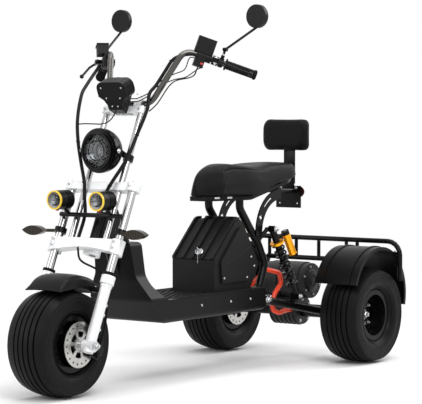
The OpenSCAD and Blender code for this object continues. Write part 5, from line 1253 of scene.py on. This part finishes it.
class SCOOTER_OT_battery_box(bpy.types.Operator):
    """Adds the lid's lock and key, and the side panels' screws and grooves"""
    bl_idname = "scooter.battery_box"
    bl_label = "Battery box"

    def execute(self, context):
        run = Vector((-156, 0, 154)).normalized()
        out = Vector((154, 0, 156)).normalized()
        foot = place(850, 0, 468)

        def slope(along, y, lift):
            return foot + (run * along + LEFT * y + out * lift) * MM

        lock = Shape()
        lock_at = (32, 24)
        lock.lathe([(0, 0), (16, 0), (16, 10), (14, 12), (9, 12), (9, 10.5), (0, 10.5)], slope(*lock_at, 5.5),
                   out, 32)
        lock.piece("lid_lock", "battery_lid", "brake_steel", "Zinc steel", 40)
        key = Shape()
        key.block(slope(*lock_at, 20), (2.4, 8, 18), (run, LEFT, out), 0.8, 2)
        key.ring(slope(*lock_at, 33) - UP * 2 * MM, (LEFT * 0.6 + run).normalized(), 8, 1.6, 32, 8)
        hang = slope(*lock_at, 36)
        key.ring(hang - UP * 15 * MM, (FORE + LEFT * 0.4).normalized(), 10, 0.9, 36, 6)
        key.tube([hang - UP * 25 * MM, hang - UP * 45 * MM + LEFT * 1 * MM, hang - UP * 62 * MM], 1.8, 8)
        key.piece("lid_key", "battery_lid", "brake_steel", "Zinc steel", 40)
        screws = Shape()
        for side in (1, -1):
            for back, z in ((1098, 470), (1120, 430), (905, 392), (1068, 386)):
                screws.pan_screw(place(back, PANEL_Y * side, z), LEFT * side, 5, 2.4)
        screws.steel_piece("panel_screws", "chassis")
        crease = Shape()
        for side in (1, -1):
            y = (PANEL_Y + 0.2) * side
            a, b, c = place(905, y, 446), place(990, y, 470), place(1092, y, 514)
            crease.tube([a, a.lerp(b, 0.5), b, b.lerp(c, 0.5), c], 1.6, 8)
        crease.piece("panel_crease", "chassis", "charcoal_plastic", "Charcoal plastic", 60)
        return {"FINISHED"}


class SCOOTER_OT_rails(bpy.types.Operator):
    """Runs the rubber beads along the floor's rails and puts the clasps on the seat's pan"""
    bl_idname = "scooter.rails"
    bl_label = "Rail beads"

    def execute(self, context):
        shape = Shape()
        for side in (1, -1):
            path = [place(back, RAIL_Y * side, RAIL_TOP) for back in range(560, 1141, 20)]
            shape.tube(path, 2.4, 8)
        shape.piece("rail_beads", "chassis", "black_rubber", "Soft rubber", 60)
        clasps = Shape()
        for side in (1, -1):
            along = (FORE - LEFT * 0.3 * side).normalized()
            for back, pan_half in ((931, 60), (995, 78)):
                clasps.block(place(back, (pan_half + 1.5) * side, 720), (26, 5, 8), (along, UP.cross(along), UP),
                             1.5, 2)
        clasps.piece("seat_clasps", "chassis", "brake_steel", "Zinc steel", 35)
        return {"FINISHED"}


# Rear end

class SCOOTER_OT_shocks(bpy.types.Operator):
    """Adds the shocks' bolts, bands, knobs and reservoir caps"""
    bl_idname = "scooter.shocks"
    bl_label = "Shocks"

    def execute(self, context):
        bolts, bands, knobs = Shape(), Shape(), Shape()
        for side in (1, -1):
            low = place(1375, 160 * side, 286)
            top = place(1234, 130 * side, 580)
            out = LEFT * side
            bolts.hex_bolt(top + out * 20 * MM, out, 9, 8, True, 4)
            bolts.hex_bolt(low + out * 21 * MM, out, 8, 7, True, 4)
            way = (top - low).normalized()
            length = (top - low).length / MM
            reservoir = low + self.reservoir_way(way) * RESERVOIR_OFF * MM
            for share in (0.545, 0.79):
                bands.ring(reservoir + way * share * length * MM, way, 17.2, 0.9, 40, 6)
            knobs.lathe([(0, 0), (12, 0), (12, -5), (10, -8), (0, -8)], reservoir + way * 0.53 * length * MM, way, 24)
            bolts.cap_screw(reservoir + way * (0.845 * length + 8) * MM, way, 6, 4)
            knobs.lathe([(27.2, 0), (28.6, 1), (28.6, 5), (27.2, 6)], low + way * (0.2 * length - 6) * MM, way, 40)
            cap = low + way * 0.78 * length * MM
            for off in circle_offsets(*across_of(way), 29.6, 8):
                bands.tube([cap + way * 1.5 * MM + off, cap + way * 8.5 * MM + off], 1.3, 6)
        bolts.steel_piece("shock_bolts", "chassis")
        bands.piece("shock_bands", "chassis", "gold_metal", "Anodised gold", 50)
        knobs.piece("shock_knobs", "chassis", "black_steel", "Gloss powder coat", 40)
        return {"FINISHED"}

    def reservoir_way(self, way):
        """Direction from the damper's line to its reservoir."""
        tilt = math.acos(max(-1.0, min(1.0, way.z)))
        turn = math.atan2(way.y, way.x)
        turned = Matrix.Rotation(turn, 3, "Z") @ Matrix.Rotation(tilt, 3, "Y")
        return (turned @ -FORE).normalized()


class SCOOTER_OT_rear_hardware(bpy.types.Operator):
    """Bolts the rack, fenders, drive unit, pivot and rear calipers"""
    bl_idname = "scooter.rear_hardware"
    bl_label = "Rear hardware"

    def execute(self, context):
        bolts = Shape()
        for side in (1, -1):
            out = LEFT * side
            for y in (436, 452):
                bolts.hex_bolt(place(1706, y * side, 469), UP, 4.5, 4)
            bolts.hex_bolt(place(1190, 140.1 * side, 284), out, 11, 9, True, 5)
            for z in (192, 218):
                bolts.hex_bolt(place(WHEELBASE - 62, side * 264, z), -out, 5, 4)
        motor = {side: place(1575, 108 * side, 336) for side in (1, -1)}
        for side in (1, -1):
            for k in range(6):
                bolts.cap_screw(motor[side] + wheel_offset(62, 60 * k + 20), LEFT * side, 5, 5)
            axle = place(WHEELBASE, 70 * side, TYRE_R)
            for k in range(5):
                bolts.hex_bolt(axle + wheel_offset(50, 72 * k + 10), LEFT * side, 5, 4)
        bolts.steel_piece("rear_bolts", "chassis")
        cover = Shape()
        for side in (1, -1):
            cover.lathe([(50, 0), (50, 4), (46, 7), (24, 7), (24, 4), (18, 4), (18, 9), (0, 9)], motor[side],
                        LEFT * side, 48)
        cover.piece("motor_covers", "chassis", "black_steel", "Drive casting", 40)
        bracket = Shape()
        for side in (1, -1):
            bracket.block(place(1706, 461.7 * side, 430), (30, 10, 48), (FORE, LEFT, UP), 2, 2)
            for z in (422, 448):
                bracket.hex_bolt(place(1706, 466.7 * side, z), LEFT * side, 4, 2.5, False)
        bracket.piece("fender_brackets", "chassis", "black_steel", "Gloss powder coat", 35)
        return {"FINISHED"}


# Routes of the cables down the fork, in its frame: forwards, to the left and up
LEFT_BUNDLE = [(-20, 145.5, 1186), (-12, 110, 1078), (8, 106, 1032), (10, 118, 967), (16, 108, 851), (30, 103.5, 745),
               (38, 64, 628), (34, 52, 588), (6, 46, 520), (10, 42, 419)]
RIGHT_BUNDLE = [(-85, -272, 1203), (42, -195, 1053), (91, -160, 987), (106, -130, 875), (87, -112, 790),
                (54, -98, 718), (36, -68, 640), (30, -54, 588), (6, -46, 520), (10, -42, 419)]
LEFT_LEAD = [(-86, 227, 1189), (-89, 215, 1152), (-37, 168, 1101), (-11, 140, 995), (8, 129, 956)]
BRAKE_HOSE = [(12, -30, 381), (0, -10, 335), (-30, 60, 310), (-52, 118, 270), (-58, 132, 180), (-80, 130, 100),
              (-84, 128, 35)]


class SCOOTER_OT_cables(bpy.types.Operator):
    """Lays the cable bundles, their lead and the brake hose in smooth curves, ties them and adds thin leads"""
    bl_idname = "scooter.cables"
    bl_label = "Cables"

    def execute(self, context):
        runs = Shape()
        for route, r in ((LEFT_BUNDLE, 7), (RIGHT_BUNDLE, 7), (LEFT_LEAD, 2.5)):
            runs.tube(smooth_path([fork_place(*p) for p in route]), r, 12)
        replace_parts(runs.piece("cable_runs", "steering", "black_rubber", "Woven sleeve", 60), "cables")
        hose = Shape()
        hose.tube(smooth_path([fork_place(*p) for p in BRAKE_HOSE]), 4, 12)
        hose.piece("brake_hose", "steering", "black_rubber", "Soft rubber", 60)
        ties = Shape()
        for u, y, w in ((16, 108, 851), (-20, 145.5, 1186), (38, 64, 628), (87, -112, 790), (36, -68, 640)):
            ties.ring(fork_place(u, y, w), FORK_UP, 8.2, 1.3, 28, 6)
        for u, y, w in ((-52, 118, 270), (-58, 132, 180)):
            ties.ring(fork_place(u, y, w), FORK_UP, 5, 1.2, 24, 6)
        ties.piece("cable_ties", "steering", "black_plastic", "Moulded black", 60)
        leads = Shape()
        # Places by the bar, then places on the fork
        for by_bar, on_fork in (
                (((238, 2, -16), (264, 6, -22)),
                 ((-62, 186, 1168), (-40, 160, 1138), (-22, 136, 1110), (-12, 112, 1084))),
                (((204, 10, -40), (222, 14, -56)),
                 ((-68, 198, 1138), (-44, 166, 1116), (-24, 138, 1090), (-8, 110, 1064)))):
            route = [bar_place(*p) for p in by_bar] + [fork_place(*p) for p in on_fork]
            leads.tube(smooth_path(route), 2.1, 8)
        leads.piece("switch_leads", "steering", "black_rubber", "Woven sleeve", 60)
        head = Shape()
        head.tube(smooth_path([fork_place(-17, 143, 1172), fork_place(-22, 150, 1194), place(534, 168, 1294),
                               bar_place(262, 19, -8), bar_place(238, 19, -6)]), 6, 10)
        head.piece("bundle_head", "steering", "black_rubber", "Woven sleeve", 60)
        return {"FINISHED"}


# Stage

CAMERA_PLACE = Vector((FRONT_X + 5503, 4726, 1069)) * MM
CAMERA_YAW = math.radians(216.12)
CAMERA_PITCH = math.radians(-2.63)
SENSOR_W = 36
FOCAL_PX = 1927
PHOTO_W = 422


def light(name, middle, target, size, power):
    """Rectangular light that looks at a target."""
    data = bpy.data.lights.new(name, "AREA")
    data.shape = "RECTANGLE"
    data.size, data.size_y = size
    data.energy = power
    obj = bpy.data.objects.new(name, data)
    bpy.context.scene.collection.objects.link(obj)
    obj.location = middle
    obj.rotation_euler = (Vector(target) - Vector(middle)).to_track_quat("-Z", "Y").to_euler()


def white_when_seen(tree, plain, white, end, amount=1.0):
    """Shows a white shader to the camera, gloss and glass by an amount, and a plain one to all else."""
    rays = tree.nodes.new("ShaderNodeLightPath")
    seen = math_node(tree, "MAXIMUM", rays.outputs["Is Camera Ray"], rays.outputs["Is Glossy Ray"])
    seen = math_node(tree, "MAXIMUM", seen, rays.outputs["Is Transmission Ray"])
    mixed = tree.nodes.new("ShaderNodeMixShader")
    tree.links.new(math_node(tree, "MULTIPLY", seen, amount), mixed.inputs[0])
    tree.links.new(plain.outputs[0], mixed.inputs[1])
    tree.links.new(white.outputs[0], mixed.inputs[2])
    tree.links.new(mixed.outputs[0], tree.nodes[end].inputs["Surface"])


class SCOOTER_OT_stage(bpy.types.Operator):
    """Makes the pale floor, the soft lights, the world and the camera"""
    bl_idname = "scooter.stage"
    bl_label = "Stage"

    def execute(self, context):
        scene = context.scene
        scene.view_settings.view_transform = "Standard"
        reach = sizes().floor_reach
        data = bpy.data.meshes.new("studio_floor")
        corners = [(-reach, -reach, 0), (reach, -reach, 0), (reach, reach, 0), (-reach, reach, 0)]
        data.from_pydata(corners, [], [(0, 1, 2, 3)])
        floor = bpy.data.objects.new("studio_floor", data)
        scene.collection.objects.link(floor)
        floor.data.materials.append(self.floor_finish())
        self.white_world(scene)
        light("key", (2.4, 3.6, 4.2), (0.2, 0, 0.5), (3.2, 3.2), 150)
        light("fill", (4.6, -2.6, 2.4), (0.2, 0, 0.6), (3.0, 3.0), 70)
        light("rim", (-3.4, 1.6, 3.0), (-0.4, 0, 0.6), (2.6, 2.2), 80)
        light("top", (0, 0, 4.6), (0, 0, 0), (4.0, 2.4), 90)
        camera = bpy.data.cameras.new("camera")
        camera.sensor_width = SENSOR_W
        camera.sensor_fit = "HORIZONTAL"
        camera.lens = SENSOR_W * FOCAL_PX / PHOTO_W
        camera.clip_end = 100
        obj = bpy.data.objects.new("camera", camera)
        scene.collection.objects.link(obj)
        obj.location = CAMERA_PLACE
        level = Vector((math.cos(CAMERA_YAW), math.sin(CAMERA_YAW), 0))
        way = level * math.cos(CAMERA_PITCH) + UP * math.sin(CAMERA_PITCH)
        obj.rotation_euler = way.to_track_quat("-Z", "Y").to_euler()
        scene.camera = obj
        return {"FINISHED"}

    def floor_finish(self):
        """Pale floor that keeps the shadow and fades to white further out."""
        material = bpy.data.materials.new("Studio floor")
        material.use_nodes = True
        tree = material.node_tree
        shader = tree.nodes["Principled BSDF"]
        shader.inputs["Base Color"].default_value = (0.93, 0.93, 0.93, 1)
        shader.inputs["Roughness"].default_value = 0.9
        shader.inputs["Specular IOR Level"].default_value = 0.1
        white = tree.nodes.new("ShaderNodeEmission")
        where = tree.nodes.new("ShaderNodeTexCoord").outputs["Object"]
        length = tree.nodes.new("ShaderNodeVectorMath")
        length.operation = "LENGTH"
        tree.links.new(where, length.inputs[0])
        fade = tree.nodes.new("ShaderNodeMapRange")
        fade.interpolation_type = "SMOOTHSTEP"
        fade.inputs["From Min"].default_value = 1.0
        fade.inputs["From Max"].default_value = 2.6
        tree.links.new(length.outputs["Value"], fade.inputs["Value"])
        white_when_seen(tree, shader, white, "Material Output", fade.outputs["Result"])
        return material

    def white_world(self, scene):
        """Soft grey light, white where the camera, gloss or glass sees it."""
        world = bpy.data.worlds.new("studio")
        scene.world = world
        world.use_nodes = True
        tree = world.node_tree
        soft = tree.nodes["Background"]
        soft.inputs["Color"].default_value = (1, 1, 1, 1)
        soft.inputs["Strength"].default_value = 0.55
        white = tree.nodes.new("ShaderNodeBackground")
        white.inputs["Color"].default_value = (1, 1, 1, 1)
        white.inputs["Strength"].default_value = 1.0
        white_when_seen(tree, soft, white, "World Output")


OPERATORS = (
    SCOOTER_OT_finishes, SCOOTER_OT_seat, SCOOTER_OT_backrest, SCOOTER_OT_wheels, SCOOTER_OT_fork_hardware,
    SCOOTER_OT_front_fender, SCOOTER_OT_headlight, SCOOTER_OT_spot_lamps, SCOOTER_OT_signals, SCOOTER_OT_grips,
    SCOOTER_OT_controls, SCOOTER_OT_dial, SCOOTER_OT_floor_mat, SCOOTER_OT_battery_box, SCOOTER_OT_rails,
    SCOOTER_OT_shocks, SCOOTER_OT_rear_hardware, SCOOTER_OT_cables, SCOOTER_OT_stage,
)


class SCOOTER_PT_dress(bpy.types.Panel):
    """Lists the scooter's operators and settings"""
    bl_idname = "SCOOTER_PT_dress"
    bl_label = "Scooter"
    bl_space_type = "VIEW_3D"
    bl_region_type = "UI"
    bl_category = "Scooter"

    def draw(self, context):
        layout = self.layout
        for group in (context.scene.scooter_colours, context.scene.scooter_sizes):
            column = layout.column()
            for title in group.bl_rna.properties.keys():
                if title not in {"rna_type", "name"}:
                    column.prop(group, title)
        for operator in OPERATORS:
            layout.operator(operator.bl_idname)


CLASSES = (ScooterColours, ScooterSizes) + OPERATORS + (SCOOTER_PT_dress,)


def register():
    for cls in CLASSES:
        bpy.utils.register_class(cls)
    bpy.types.Scene.scooter_colours = bpy.props.PointerProperty(type=ScooterColours)
    bpy.types.Scene.scooter_sizes = bpy.props.PointerProperty(type=ScooterSizes)


def unregister():
    del bpy.types.Scene.scooter_sizes
    del bpy.types.Scene.scooter_colours
    for cls in reversed(CLASSES):
        bpy.utils.unregister_class(cls)


def main():
    register()
    bpy.ops.scooter.finishes()
    bpy.ops.scooter.seat()
    bpy.ops.scooter.backrest()
    bpy.ops.scooter.wheels()
    bpy.ops.scooter.fork_hardware()
    bpy.ops.scooter.front_fender()
    bpy.ops.scooter.headlight()
    bpy.ops.scooter.spot_lamps()
    bpy.ops.scooter.signals()
    bpy.ops.scooter.grips()
    bpy.ops.scooter.controls()
    bpy.ops.scooter.dial()
    bpy.ops.scooter.floor_mat()
    bpy.ops.scooter.battery_box()
    bpy.ops.scooter.rails()
    bpy.ops.scooter.shocks()
    bpy.ops.scooter.rear_hardware()
    bpy.ops.scooter.cables()
    bpy.ops.scooter.stage()


if __name__ == "__main__":
    main()
